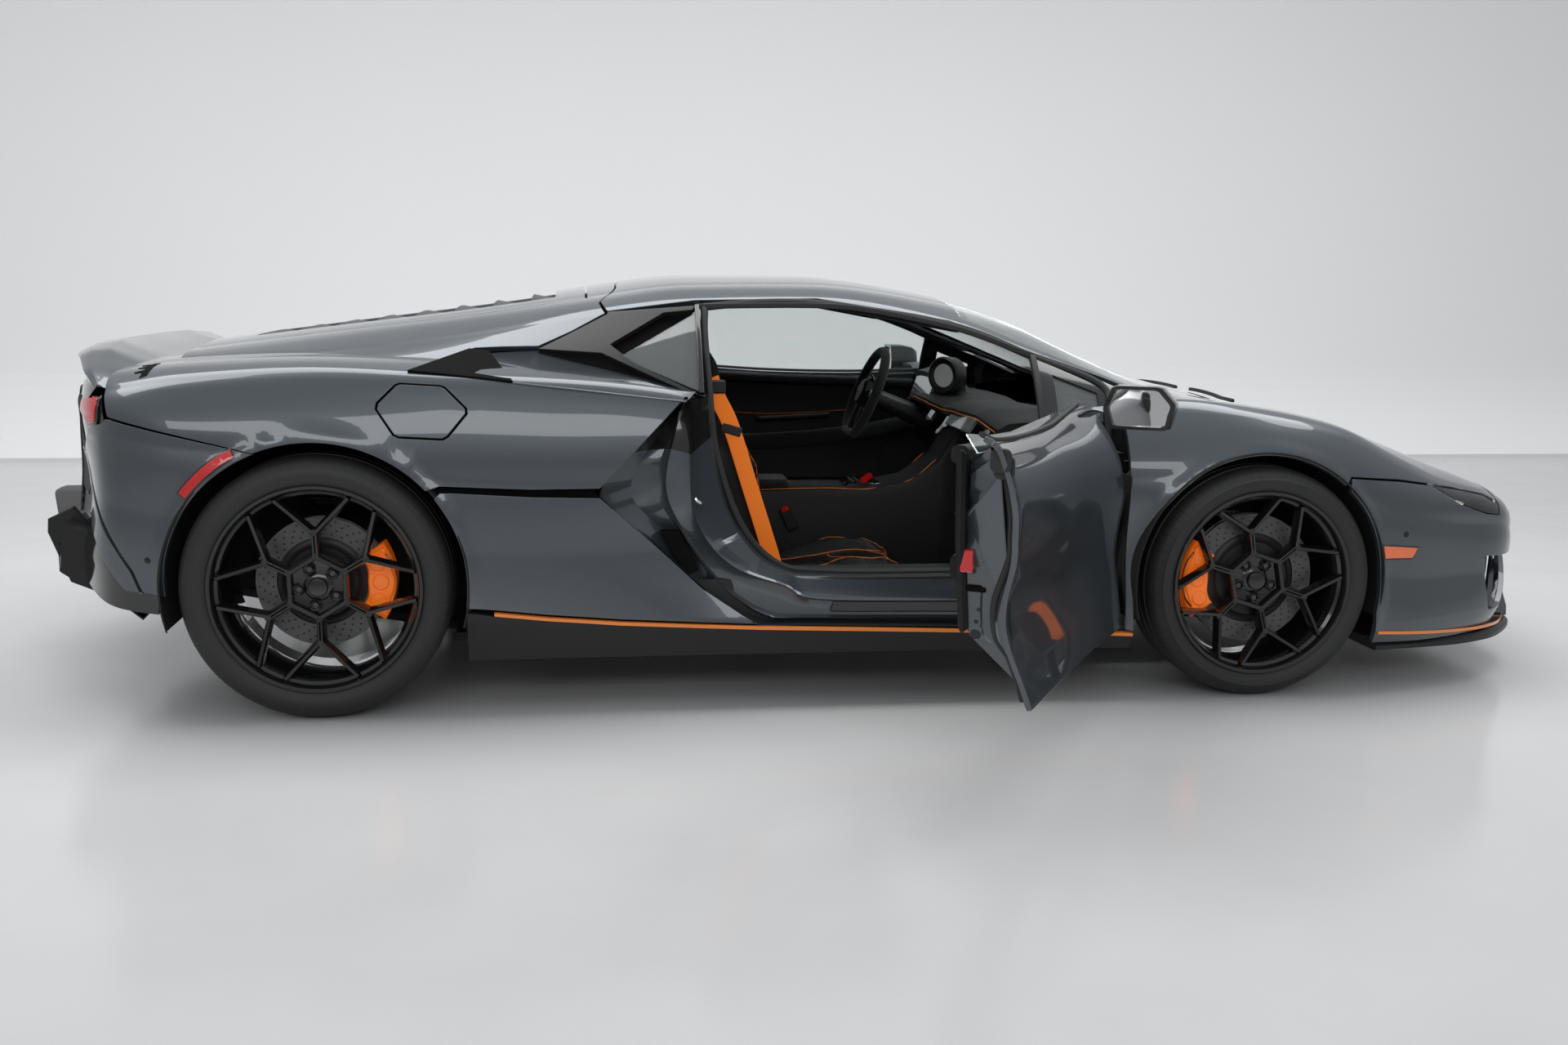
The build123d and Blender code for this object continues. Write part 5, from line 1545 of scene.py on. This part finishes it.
swell_cap = .012
base_shell = loft([base_ring(v) for v in np.linspace(-1, 1, 25)])
back_shell = loft([[(x, y, z) for x, z, y in back_ring(u)] for u in np.linspace(0.02, .98, 34)])
seat_base = foam("seat_base_left", base_shell, swell_cap, black_leather)
seat_back = foam("seat_back_left", back_shell, swell_cap, black_leather)
for made, name in ((seat_base, "seat_base_right"), (seat_back, "seat_back_right")):
    twin_mesh = made.data.copy()
    twin_mesh.transform(Matrix.Scale(-1, 4, (0, 1, 0)))
    twin_mesh.flip_normals()
    twin = bpy.data.objects.new(name, twin_mesh)
    scene.collection.objects.link(twin)
    for pad in (made, twin):
        settled(pad, "body_shell", "leather", "seats")


def laid_on(made, points, direction, sink=0.0):
    """Where lines from points along a direction meet a piece."""
    tree = BVHTree.FromObject(made, bpy.context.evaluated_depsgraph_get())
    found = []
    for point in points:
        hit, *_ = tree.ray_cast(Vector(point), Vector(direction))
        if hit is not None:
            found.append(np.array(hit) - np.array(direction) * sink)
    return np.array(found)


def twice(lines):
    """Each line to the right and to the left of the seat's middle."""
    return [[(a, side * y) for a, y in line] for line in lines for side in (-1, 1)]


base_lines = twice([[(.360, .110), (.250, .128), (.100, .125), (-.010, .120)],
                    [(.372, .150), (.300, .170), (.150, .178), (.000, .172)]])
base_lines += [[(.170, -.125), (.230, -.060), (.245, .0), (.230, .060), (.170, .125)],
               [(.300, -.122), (.335, -.060), (.342, .0), (.335, .060), (.300, .122)]]
back_lines = twice([[(.340, .118), (.450, .128), (.640, .128), (.760, .100)],
                    [(.400, .180), (.560, .186), (.680, .172), (.790, .108)]])
back_lines += [[(.560, -.128), (.590, 0), (.560, .128)], [(.830, -.095), (.812, 0), (.830, .095)]]
seams = []
for line in base_lines:
    above_seat = [(x, seat_y + y, .60) for x, y, _ in curve([(x, y, 0) for x, y in line], 10)]
    seams.append(sweep(laid_on(seat_base, above_seat, (0, 0, -1)), ring(.0016, 6)))
for line in back_lines:
    before_seat = [(.50, seat_y + y, z) for z, y, _ in curve([(z, y, 0) for z, y in line], 10)]
    seams.append(sweep(laid_on(seat_back, before_seat, (-1, 0, 0)), ring(.0016, 6), up=(1, 0, 0)))
both_sides(joined(seams), "seat_seams", thread)


def shell_level(u):
    """A level of the hard shell behind the seat back."""
    half = back_half(u)
    rear = np.interp(u, [0, .5, 1], [-.200, -.346, -.330])
    edge, middle = rear + .030 - .012 + .004, rear - .004 - .012
    return [(edge, seat_y - half, .300 + .700 * u), (middle, seat_y - half * .7, .305 + .700 * u),
            (middle, seat_y + half * .7, .305 + .700 * u), (edge, seat_y + half, .300 + .700 * u)]


both_sides(loft([shell_level(u) for u in np.linspace(0, .98, 24)]), "seat_shell", gloss_black)
seat_foot = block((-.060, seat_y - .150, .172), (.330, seat_y + .150, .200), .006)
both_sides(seat_foot, "seat_rails", black_satin)

# ---------------------------------------------------------------- seat belts
# Orange woven webbing down the outer side of each seat, through a black guide and slider to its anchor,
# and a moulded black buckle with a red button on the inner side.
webbing, n = material("orange_webbing", "accent")
x, y, z = n.split(n.place())
rib = ((z + x * 0.25) * 2600.0).sin() * 0.5 + 0.5
# The orange emission makes the webbing glow a little: painted light, as webbing is no lamp.
n.surface(Base_Color=n.mix(rib, (0.96, 0.20, 0.010, 1), (1.0, 0.28, 0.018, 1)), Roughness=rib * 0.1 + 0.55,
          Emission_Color=n.mix(rib, (1.0, 0.15, 0.006, 1), (1.0, 0.19, 0.010, 1)), Emission_Strength=0.20,
          Normal=n.bump(rib, 0.0003, 0.5))
belt_path = curve([(-.250, .655, .905), (-.226, .650, .842), (-.188, .636, .765), (-.128, .626, .580),
    (-.063, .628, .376), (-.050, .640, .320)], 10)
belt = sweep(belt_path, [(-.024, -.0006), (-.022, .0008), (.022, .0008), (.024, -.0006)], up=(0, 1, 0))
both_sides(belt, "belt_webbing", webbing)
slider = block((-.030, -.006, -.014), (.030, .006, .014), .003).moved(
    Matrix.Translation((-.186, .634, .752)) @ Matrix.Rotation(math.radians(17), 4, "Y"))
guide = block((-.034, -.010, -.020), (.034, .010, .020), .005).moved(Matrix.Translation((-.240, .654, .880)))
both_sides(slider + guide, "belt_guides", black_satin)
buckle_place = Matrix.Translation((.060, .125, .405)) @ Matrix.Rotation(math.radians(-25), 4, "Y")
buckle = block((-.018, -.010, -.040), (.018, .010, .040), .004).moved(buckle_place)
both_sides(buckle, "belt_buckle", black_satin)
button = block((-.012, -.0105, .026), (.012, .0105, .043), .002).moved(buckle_place)
both_sides(button, "belt_buckle_button", red_glass)

# ---------------------------------------------------------------- dashboard and console
# A leather dash top over a stitched lip, the driver's display under its hood, a round pod beside it, the
# passenger's strip display, and the middle console with a red start cover.
display, n = material("dark_display", "gloss_black")
x, y, z = n.split(n.place())
glow = n.noise(30.0, 2.0)
n.surface(Base_Color=grey(0.006), Roughness=0.12, Emission_Color=n.mix(glow, (0.01, 0.012, 0.014, 1),
    (0.05, 0.055, 0.06, 1)), Emission_Strength=0.6, Coat_Weight=1.0)
dial_grey, n = material("dial_face", "gloss_black")
n.surface(Base_Color=n.mix(n.noise(60.0), grey(0.30), grey(0.36)), Roughness=0.3, Coat_Weight=1.0,
          Emission_Color=n.mix(n.noise(8.0), grey(0.10), grey(0.14)), Emission_Strength=0.5)

dash_line = [(.925, .745), (.880, .786), (.800, .800), (.700, .802), (.620, .796), (.588, .778), (.586, .756),
             (.612, .735), (.640, .690), (.655, .620), (.700, .562), (.900, .562)]


def dash_ring(y):
    side = np.interp(abs(y), [0, .20, .45, .640], [-.012, 0, 0, -.028])
    back = np.interp(abs(y), [0, .14, .30, .640], [.014, .0, .0, .030])
    return [(x + (back if x < .66 else 0), y, z + (side if z > .70 else 0)) for x, z in dash_line]


loft([dash_ring(y) for y in np.linspace(-.640, .640, 41)]).piece("dashboard_top", black_leather, "dashboard")
lip_seam = [(np.interp(abs(y), [0, .14, .30, .64], [.600, .586, .586, .616]), y,
             np.interp(abs(y), [0, .2, .45, .64], [.756, .768, .768, .740]))
            for y in np.linspace(-.62, .62, 50)]
sweep(np.array(lip_seam), ring(.0016, 6)).piece("dashboard_seam", thread)
hood_ring = [[(x, hood_y, z) for x, z in ((.735, .800), (.730, .800 + rise), (.660, .806 + rise),
    (.618, .800 + rise * .9), (.624, .795 + rise * .72), (.700, .795))]
    for hood_y, rise in ((seat_y - .185, .004), (seat_y - .165, .050), (seat_y - .10, .066), (seat_y, .070),
    (seat_y + .10, .066), (seat_y + .165, .050), (seat_y + .185, .004))]
loft(hood_ring).piece("instrument_hood", suede)
screen = prism(rounded(.290, .095, .012), .010, .002, facing((.622, seat_y, .800), (0, -1, 0), (.35, 0, .94)))
screen.piece("driver_display", display)
strip_screen = prism(rounded(.300, .050, .010), .010, .002,
    facing((.588, -.330, .742), (0, -1, 0), (.55, 0, .84)))
strip_screen.piece("passenger_display", display)
pod_place = Matrix.Translation((.662, .170, .862)) @ Matrix.Rotation(math.radians(40), 4, "Z")
pod = lathe([(-.030, .0005), (-.030, .036), (-.036, .044), (-.040, .060), (-.034, .066), (.020, .062),
    (.044, .044), (.050, .0005)], (0, 0, 0), 40, "X").moved(pod_place)
pod.piece("round_pod", black_satin)
lathe([(-.0335, .0005), (-.0335, .041), (-.0315, .043), (-.029, .043), (-.029, .0005)], (0, 0, 0), 40,
    "X").moved(pod_place).piece("round_pod_face", dial_grey)
centre_screen = prism(rounded(.115, .020, .006), .006, .002,
    facing((.620, 0, .716), (.66, 0, .75), (0, 1, 0)))
centre_screen.piece("centre_display", dial_grey)
pod_neck = sweep([(.668, .172, .805), (.666, .172, .840)], ring(.022, 14), up=(1, 0, 0))
pod_neck.piece("round_pod_neck", black_satin)
console_at = [(-.560, .110, .440), (-.300, .112, .470), (-.060, .112, .500), (.180, .108, .506),
    (.330, .104, .502), (.470, .106, .530), (.560, .108, .600), (.612, .110, .700), (.628, .110, .760)]
console = loft([[(x + lean * .10, y, z) for y, z in (
    (-half, .172), (-half, top - .030), (-half + .008, top - .008), (-half + .026, top), (half - .026, top),
    (half - .008, top - .008), (half, top - .030), (half, .172))]
    for (x, half, top), lean in zip(console_at, (0, 0, 0, 0, 0, 0, .1, .2, .3))])
console.piece("middle_console", black_leather)
arm_pad = prism(rounded(.300, .170, .030), .030, .010, Matrix.Translation((-.080, 0, .498)))
arm_pad.piece("console_armrest", suede)
for side in (-1, 1):
    seam_points = [(x, side * (half - .012), top - .0045) for x, half, top in console_at[:7]]
    sweep(curve(seam_points, 8), ring(.0014, 6)).piece("console_seam_" + ("right" if side < 0 else "left"),
        thread)
bezel = prism(rounded(.150, .120, .020), .012, .003, Matrix.Translation((.330, 0, .500)))
bezel.piece("console_switch_panel", gloss_black)
start_cover = prism([(-.020, -.018), (.024, -.012), (.024, .012), (-.020, .018)], .020, .004,
                    Matrix.Translation((.345, 0, .512)) @ Matrix.Rotation(math.radians(-35), 4, "Y"))
start_cover.piece("start_cover", red_glass)
switches = joined(prism(rounded(.013, .016, .003), .016, .002, Matrix.Translation((x, y, .504)))
                  for x in (.285, .305) for y in (-.045, -.022, 0, .022, .045))
switches.piece("console_switches", black_satin)
vent_frame = [(-.035, -.018), (.0, -.026), (.035, -.018), (.035, .018), (.0, .026), (-.035, .018)]
vents = joined(prism(vent_frame, .010, .002, facing((x, y, .722), (0, -1, 0), (.55, 0, .84)))
               for x, y in ((.606, -.560), (.596, -.120), (.596, .120), (.606, .590)))
vents.piece("dashboard_vents", gloss_black)

# ---------------------------------------------------------------- steering wheel
# A flat-bottomed rim sewn in suede on three gloss-black spokes round a six-cornered leather hub pad, with
# shift paddles behind. It turns with the column.
wheel_at = joint_at["steering_wheel_turn"]
rake = math.radians(22)
wheel_matrix = Matrix.Translation(wheel_at) @ Matrix(((math.sin(rake), 0, math.cos(rake), 0), (0, 1, 0, 0),
    (math.cos(rake), 0, -math.sin(rake), 0), (0, 0, 0, 1))).transposed()
rim_path = [(max(.166 * math.cos(a), -.148), .166 * math.sin(a), 0)
            for a in np.linspace(0, 2 * math.pi, 80, endpoint=False)]
grip_ring = sweep(rim_path, ring(.0155, 14, 1.12), up=(0, 0, 1), closed=True).moved(wheel_matrix)
grip_ring.piece("steering_rim", suede, "steering_wheel", body="hand_wheel")
hub_pad = prism([(.050, -.030), (.050, .030), (.008, .060), (-.045, .034), (-.045, -.034), (.008, -.060)],
    .040, .010, wheel_matrix @ Matrix.Translation((0, 0, -.026)))
hub_pad.piece("steering_hub", black_leather, body="hand_wheel")
upper_spoke = [(.018, .040), (.030, .158), (.002, .160), (-.020, .044)]
lower_spoke = [(-.035, -.022), (-.150, -.030), (-.150, .030), (-.035, .022)]
paddle = [(.060, .072), (.074, .128), (-.020, .132), (-.024, .084)]
spoke_place = wheel_matrix @ Matrix.Translation((0, 0, -.010))
paddle_place = wheel_matrix @ Matrix.Translation((0, 0, .022))
spokes = joined([prism(points, .016, .004, spoke_place) for points in (upper_spoke,
    [(x, -y) for x, y in upper_spoke], lower_spoke)]
    + [prism([(x, side * y) for x, y in paddle], .005, .0015, paddle_place) for side in (1, -1)])
spokes.piece("steering_spokes", gloss_black, body="hand_wheel")
column = lathe([(.010, .001), (.010, .030), (.060, .034), (.260, .036), (.260, .001)], (0, 0, 0), 32,
    "Z").moved(wheel_matrix)
column.piece("steering_column", black_satin, body="hand_wheel")

# ---------------------------------------------------------------- cabin linings
# Suede headlining stretched on a board under the roof, carpet mats on the floor, and the driver's steel
# pedals.
headlining = panel(cabin_skin, [*flank((.490, 1.056), (.064, 1.128), (-.285, 1.120), (-.545, 1.086)),
    *by_t((-.560, crown), (.500, crown)), *above((.500, .600))], gap=0.003, depth=0.002, lift=-0.019,
    spacing=0.03, whole=True)
headlining.piece("headlining", suede)
carpet = grained("black_carpet", "leather", 900.0, 4.0, grey(0.008), grey(0.026), 1.0, bump=(0.002, 0.8))
mat = prism(rounded(.460, .400, .040), .010, .003, Matrix.Translation((.640, .370, .173)))
both_sides(mat, "floor_mat", carpet)
pedals = joined(prism(rounded(.050, .110, .008), .008, .002,
    facing((.838, y, .300), (0, -1, 0), (.45, 0, .89))) for y in (.330, .440))
pedals.piece("pedals", chrome)

# ---------------------------------------------------------------- lamps and reflectors
# Black-cased headlamps under clear covers with a white day-running line, orange side markers, red rear lamps,
# and the round sensors set in the bumpers.
def stuck(skin, x, z, lift=0.0, kind="side"):
    """The matrix of a spot on the skin: X forwards along it, Z out of it."""
    at = skin.to_t(kind, x, z)
    point, normal = skin.at(*at), skin.at(*at, skin.n)
    ahead = Vector((1, 0, 0)) - Vector(normal) * float(normal[0])
    side = Vector(normal).cross(ahead)
    return facing(point + normal * lift, ahead, side)


lamp_outline = [*flank((1.888, .6105), (1.990, .5535), (2.100, .5165), (2.164, .508)),
                *above((2.168, .474)), *flank((2.149, .547), (2.105, .5705), (1.980, .5965))]
lamp_cover, n = material("clear_lamp_cover", "glass")
haze = n.noise(6.0)
n.surface(Base_Color=n.mix(haze, grey(0.30), grey(0.36)), Roughness=haze * 0.01, Transmission_Weight=0.96,
    IOR=1.05, Coat_Weight=1.0, Coat_Roughness=0.0)
day_light, n = material("day_running_light", "lamp")
n.surface(Base_Color=grey(0.8), Roughness=n.noise(200.0) * 0.1 + 0.3,
    Emission_Color=n.mix(n.noise(90.0), grey(0.85), grey(1.0)), Emission_Strength=0.9)
orange_lens, n = material("orange_marker_lens", "lamp")
cube = n.cells(500.0, output=0)
n.surface(Base_Color=n.mix(cube, (0.80, 0.12, 0.03, 1), (0.95, 0.22, 0.07, 1)), Roughness=cube * 0.1 + 0.15,
          Coat_Weight=1.0, Coat_Roughness=0.03)
both_sides(panel(body_skin, lamp_outline, gap=0.004, depth=0.002, lift=-0.002), "headlamp_cover",
    lamp_cover, ["headlamps"])
both_sides(panel(body_skin, lamp_outline, gap=-0.010, depth=0.002, lift=-0.042), "headlamp_case", gloss_black)


def lens(x, z, size):
    """A turned lamp barrel sunk in the case."""
    return lathe([(0, .0004), (0, size * 1.25), (.010, size * 1.3), (.014, size * 1.15), (.014, size),
                  (.020, size * .8), (.024, size * .4), (.025, .0004)], (0, 0, 0), 28, "Z").moved(
        stuck(body_skin, x, z, -.040))


def light_line(points):
    """A lit strip under the cover, from side-view points."""
    spots = [body_skin.to_t("side", x, z) for x, z, _ in curve([(x, z, 0) for x, z in points], 8)]
    path = np.array([body_skin.at(*spot) - body_skin.at(*spot, body_skin.n) * .020 for spot in spots])
    return sweep(path, [(-.004, -.003), (.004, -.003), (.004, .003), (-.004, .003)])


lenses = lens(1.985, .578, .015) + lens(2.050, .560, .017) + lens(2.112, .543, .014)
both_sides(lenses, "headlamp_lenses", black_satin, slot="lamp")
light_lines = light_line([(1.900, .600), (1.916, .594), (1.940, .582)]) + light_line(
    [(1.940, .582), (1.985, .570), (2.020, .556)])
both_sides(light_lines, "headlamp_day_lights", day_light)

marker = flank((1.694, .450), (1.838, .436), (1.815, .396), (1.706, .399))
both_sides(panel(body_skin, marker, gap=0.0, depth=0.003, lift=.0008), "front_marker_frame", gloss_black)
both_sides(panel(body_skin, marker, gap=0.012, depth=0.004, lift=.0030, lip=.001), "front_marker_lens",
    orange_lens)
rear_marker = [*arc(rear_arch, 118, 143, grow=.008, count=14), *arc(rear_arch, 143, 118, grow=.042, count=14)]
both_sides(panel(body_skin, rear_marker, gap=0.0, depth=0.003, lift=.0008), "rear_marker_frame", gloss_black)
both_sides(panel(body_skin, rear_marker, gap=0.010, depth=0.004, lift=.0030, lip=.001), "rear_marker_lens",
    red_glass)
tail_lamp = flank((-1.880, .862), (-1.905, .868), (-1.965, .850), (-1.975, .815), (-1.925, .782),
    (-1.892, .792))
both_sides(panel(body_skin, tail_lamp, gap=0.0, depth=0.004, lift=.0010), "tail_lamp_case", gloss_black)
both_sides(panel(body_skin, tail_lamp, gap=0.012, depth=0.006, lift=.0040, lip=.002), "tail_lamp_lens",
    red_glass, ["taillamps"])
sensor = lathe([(-.002, .0004), (-.002, .009), (.0008, .009), (.0014, .008), (.0014, .0004)], (0, 0, 0), 24,
    "Z")
sensors = joined(sensor.moved(stuck(body_skin, x, z)) for x, z in ((1.783, .473), (-1.760, .440)))
both_sides(sensors, "parking_sensors", black_satin)

# ---------------------------------------------------------------- nose
# The slanted face under the nose: honeycomb intakes between painted blades, over a black splitter with an
# orange line round its upper edge.
honeycomb, n = material("honeycomb_mesh", "black_plastic")
# Darker at the middle of each cell than at its walls: painted shade in the mesh's openings, over its black.
cell_depth_shade = n.cells(85.0, output=0)
n.surface(Base_Color=n.mix(cell_depth_shade, grey(0.003), grey(0.020)), Roughness=0.6, Normal=n.bump(cell_depth_shade, 0.006, 1.0))
chin_rows = 24
chin_x = np.linspace(2.150, 2.426, chin_rows)
chin_edge = [body_skin.at(x, 0.0) for x in chin_x]
chin_out = np.array([.86, 0, -.51])


def chin_strip(y0, y1, sink, thick=.004, first=0, last=chin_rows):
    """A strip of the slanted face between two widths, given as shares of its half width."""
    rows = []
    for x, edge in list(zip(chin_x, chin_edge))[first:last]:
        ys = np.linspace(y0 * edge[1], y1 * edge[1], 9)
        top = [np.array([x, y, edge[2]]) - chin_out * sink for y in ys]
        rows.append(top + [p - chin_out * thick for p in top[::-1]])
    return loft(rows)


chin_strip(-.97, .97, .040, last=17).piece("intake_mesh", honeycomb)
blades = joined([chin_strip(-.56, -.44, 0.0, .036, 4, 17), chin_strip(.44, .56, 0.0, .036, 4, 17),
                 chin_strip(-1.0, 1.0, 0.0, .036, 0, 6), chin_strip(-1.0, 1.0, 0.0, .003, 14, chin_rows)])
blades.piece("intake_blades", paint)
fins = chin_strip(-.90, .90, .016, .012, 7, 9) + chin_strip(-.90, .90, .016, .012, 10, 12)
fins.piece("intake_fins", black_satin)

intake_wall = panel(body_skin, by_t((2.090, 2.50), (2.100, .80), (2.336, .60), (2.338, 2.45)),
                    gap=0.0, depth=0.002, lift=-0.060)
both_sides(intake_wall, "side_intake_wall", honeycomb)
corner_fin = side_plate([(2.254, .241), (2.240, .150), (2.336, .150), (2.334, .181), (2.262, .362)], .626,
    .014, .005)
both_sides(corner_fin, "corner_fin", paint)

splitter_side = [(1.722, .928), (1.860, .908), (2.000, .880), (2.120, .832), (2.200, .780), (2.290, .690),
    (2.354, .598), (2.400, .440), (2.418, .300), (2.420, .0)]
rim_line = curve([(x, y, 0) for x, y in splitter_side], 6)
splitter_outline = [(x, y) for x, y, _ in rim_line] + [(x, -y) for x, y, _ in rim_line[-2::-1]]
splitter_rows = [[(x - (inset if x > 1.73 else 0), y * (1 - inset), z) for x, y in splitter_outline]
                 for z, inset in ((.1185, .010), (.1215, .0), (.134, .0), (.1462, .010))]
loft(splitter_rows).piece("splitter_blade", black_satin, "splitter")
line_path = [(x, skin_y(x, z) + .0005, z) for x, z in (
    (1.704, .184), (1.800, .178), (1.900, .172), (2.000, .167), (2.100, .163), (2.190, .160))]
line_path += [(2.262, .700, .155), (2.335, .590, .151), (2.382, .430, .150), (2.402, .290, .150),
    (2.405, .0, .150)]
half_line = curve(line_path, 6)
whole_line = np.concatenate([half_line, (half_line * [1, -1, 1])[-2::-1]])
sweep(whole_line, [(-.002, -.0045), (.002, -.0045), (.002, .0045), (-.002, .0045)]).piece("splitter_line",
    orange_line)
front_floor_rows = [[(x, y, z) for y, z in ((-w, .150), (w, .150), (w, .156), (-w, .156))]
                    for x, w in ((1.700, .890), (1.900, .860), (2.100, .790), (2.250, .640), (2.390, .330))]
loft(front_floor_rows).piece("splitter_tray", black_satin)


def wiper(points):
    """A wiper lying on the screen, from plan-view points."""
    spots = curve([(x, y, 0) for x, y in points], 6)
    at = [cabin_skin.to_t("plan", x, abs(y)) for x, y, _ in spots]
    path = np.array([(cabin_skin.at(*t) + cabin_skin.at(*t, cabin_skin.n) * .009) * [1, np.sign(y) or 1, 1]
                     for t, (_, y, _) in zip(at, spots)])
    return sweep(path, [(-.006, -.005), (.006, -.005), (.004, .005), (-.004, .005)])


wipers = wiper([(1.452, .060), (1.440, .220), (1.405, .420)]) + wiper([(1.425, -.480), (1.432, -.300),
    (1.430, -.120)])
wipers.piece("windscreen_wipers", rubber)

# ---------------------------------------------------------------- tail
# A painted ducktail over a black honeycomb panel, two exhaust pipes, and a folded black diffuser with its
# upright fins.
def tail_ring(y):
    """A cross-section of the ducktail at a distance across it."""
    w = abs(y)
    lead = np.interp(w, [0, .45, .70, .84], [-1.792, -1.792, -1.826, -1.868])
    end = np.interp(w, [0, .20, .50, .74, .84], [-2.104, -2.100, -2.043, -1.956, -1.900])
    rise = np.interp(w, [0, .40, .60, .76, .84], [.992, .990, .975, .930, .893])
    tip = np.interp(w, [0, .40, .60, .76, .84], [.957, .962, .958, .920, .888])
    low = min(body_skin.at(*body_skin.to_t("plan", lead, min(max(w, .45), .845)))[2], .945) - .012
    crest = lead * .42 + end * .58
    under = tip - np.interp(w, [0, .6, .84], [.080, .070, .018])
    return [(lead, y, low), (lead * .75 + end * .25, y, low * .60 + rise * .40), (crest, y, rise),
        (crest * .4 + end * .6, y, rise * .62 + tip * .38 + .003), (end + .004, y, tip + .001),
        (end, y, tip - .006), (end + .006, y, tip - .020), (end + .050, y, under + .012),
        (crest + .030, y, under - .004), (lead - .050, y, low - .020), (lead, y, low - .012)]


loft([tail_ring(y) for y in np.linspace(-.84, .84, 61)]).piece("ducktail", paint, "spoiler")
tail_panel = panel(body_skin, by_t((-2.000, 3.90), (tail_x + .002, 3.90), (tail_x + .002, 1.70),
    (-2.050, 1.70), (-2.000, 2.60)), gap=0.0, depth=0.002, lift=-.003)
both_sides(tail_panel, "tail_mesh_side", honeycomb)
deck_mesh = panel(body_skin,
    [*above((-1.735, .455), (-1.905, .455)), *by_t((-1.905, front_centre), (-1.735, front_centre))],
    gap=0.0, depth=0.002, lift=-.012, whole=True)
deck_mesh.piece("deck_mesh", honeycomb)
end_loop = np.array([body_skin.at(tail_x + .001, t) for t in np.linspace(0.02, front_centre, 60)])
end_ring = [(p[1], p[2]) for p in end_loop] + [(-p[1], p[2]) for p in end_loop[-2::-1]]
end_plate = prism(end_ring, .010, .003, facing((tail_x + .008, 0, 0), (0, -1, 0), (0, 0, 1)))
end_plate.piece("tail_mesh", honeycomb)
tip_profile = [(-2.141, .048), (-2.141, .052), (-2.137, .0545), (-2.060, .0545), (-1.990, .050),
    (-1.990, .0004), (-2.040, .0004), (-2.040, .045), (-2.134, .047)]
tips = joined(lathe(tip_profile, (0, y, .620), 48, "X") for y in (-.150, .150))
burnt_steel = grained("burnt_steel", "steel", 14.0, 2.0, (0.10, 0.095, 0.10, 1), (0.20, 0.16, 0.13, 1), 0.28,
                      Metallic=1.0)
tips.piece("exhaust_tips", burnt_steel, "exhaust")
silencer = lathe([(-.300, .0004), (-.310, .060), (-.300, .085), (.300, .085), (.310, .060), (.300, .0004)],
    (-1.900, 0, .600), 40)
silencer.piece("silencer", bolt_steel)


def diffuser_ring(y):
    w = abs(y)
    end = np.interp(w, [0, .060, .250, .500, .700], [-2.274, -2.272, -2.203, -2.130, -2.064])
    low = np.interp(end, [-2.276, -1.994], [.490, .318])
    head = np.interp(w, [0, .60, .70], [-1.692, -1.692, -1.820])
    foot = np.interp(head, [-1.994, -1.690], [.318, .215])
    return [(head, y, foot), (-1.994, y, .318), (end * .5 - .997, y, low * .5 + .159), (end + .004, y, low),
        (end, y, low + .004), (end, y, low + .012), (end + .004, y, low + .016), (-2.050, y, .500),
        (-1.960, y, .460), (head - .040, y, foot + .060)]


loft([diffuser_ring(y) for y in np.linspace(-.698, .698, 57)]).piece("diffuser_floor", black_satin,
    "diffuser")
inner_vane = [(-1.716, .240), (-1.716, .206), (-1.994, .263), (-2.148, .342), (-2.187, .449), (-1.994, .336)]
outer_vane = [(-1.716, .240), (-1.716, .206), (-1.994, .263), (-2.104, .322), (-2.134, .425), (-1.994, .336)]
end_vane = [(-2.114, .500), (-2.117, .462), (-2.063, .318), (-1.835, .222), (-1.760, .220), (-1.900, .350),
            (-2.000, .480), (-2.043, .535)]
vanes = joined(side_plate(points, y + thick / 2, thick, .003) for y, points, thick in (
    (0, inner_vane, .011), (.240, inner_vane, .011), (-.240, inner_vane, .011), (.480, outer_vane, .011),
    (-.480, outer_vane, .011), (.610, end_vane, .016), (-.610, end_vane, .016)))
shelf_rows = [(-2.096, .438, .616), (-2.006, .381, .668), (-1.938, .304, .694), (-1.850, .232, .698)]
shelf = loft([[(x, .600, z + .004), (x, .600, z - .004), (x, reach, z - .010), (x, reach, z - .004)]
    for x, z, reach in shelf_rows])
vanes = vanes + shelf + shelf.mirrored()
vanes.piece("diffuser_fins", black_satin)
# The slots and their teeth are near-black plates laid on the deck: painted shade in the slots' openings.
deck_slot = panel(body_skin, above((-1.764, .700), (-1.764, .850), (-1.784, .856), (-1.784, .700)),
                  gap=0.0, depth=0.002, lift=.0012)
both_sides(deck_slot, "deck_slots", black_and_painted_shade)
teeth = joined(panel(body_skin, above((-1.783, y - .010), (-1.783, y + .010), (-1.806, y + .003),
    (-1.806, y - .003)), gap=0.0, depth=0.002, lift=.0014, lip=.0005, spacing=.01)
    for y in (.730, .770, .810))
both_sides(teeth, "deck_slot_teeth", black_and_painted_shade)

# ---------------------------------------------------------------- frame, engine and running gear
# The carried-over pieces that are right as they are: the black tub, the luggage box, the engine's castings
# and the forged suspension arms.
tub_black = grained("moulded_tub", None, 350.0, 3.0, grey(0.010), grey(0.022), 0.55, 0.2, (0.0006, 0.5))
cast_alloy = grained("cast_alloy", None, 240.0, 4.0, grey(0.16), grey(0.26), 0.42, 0.2, (0.0008, 0.6),
    Metallic=0.9)
forged = grained("forged_steel", None, 120.0, 3.0, grey(0.05), grey(0.10), 0.35, 0.2, Metallic=0.85)
carried = {"tub": tub_black, "luggage_box": liner_matter, "engine_block": cast_alloy,
    "suspension_front": forged, "suspension_rear": forged, "knuckle_front_left": cast_alloy,
    "knuckle_front_right": cast_alloy}
for name, node in frame["nodes"].items():
    node.data.materials.clear()
    node.data.materials.append(carried.get(name, black_satin))

for o in scene.objects:
    if o.type == "MESH" and not o.get("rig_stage") and "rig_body" not in o:
        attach(o, "body_shell")
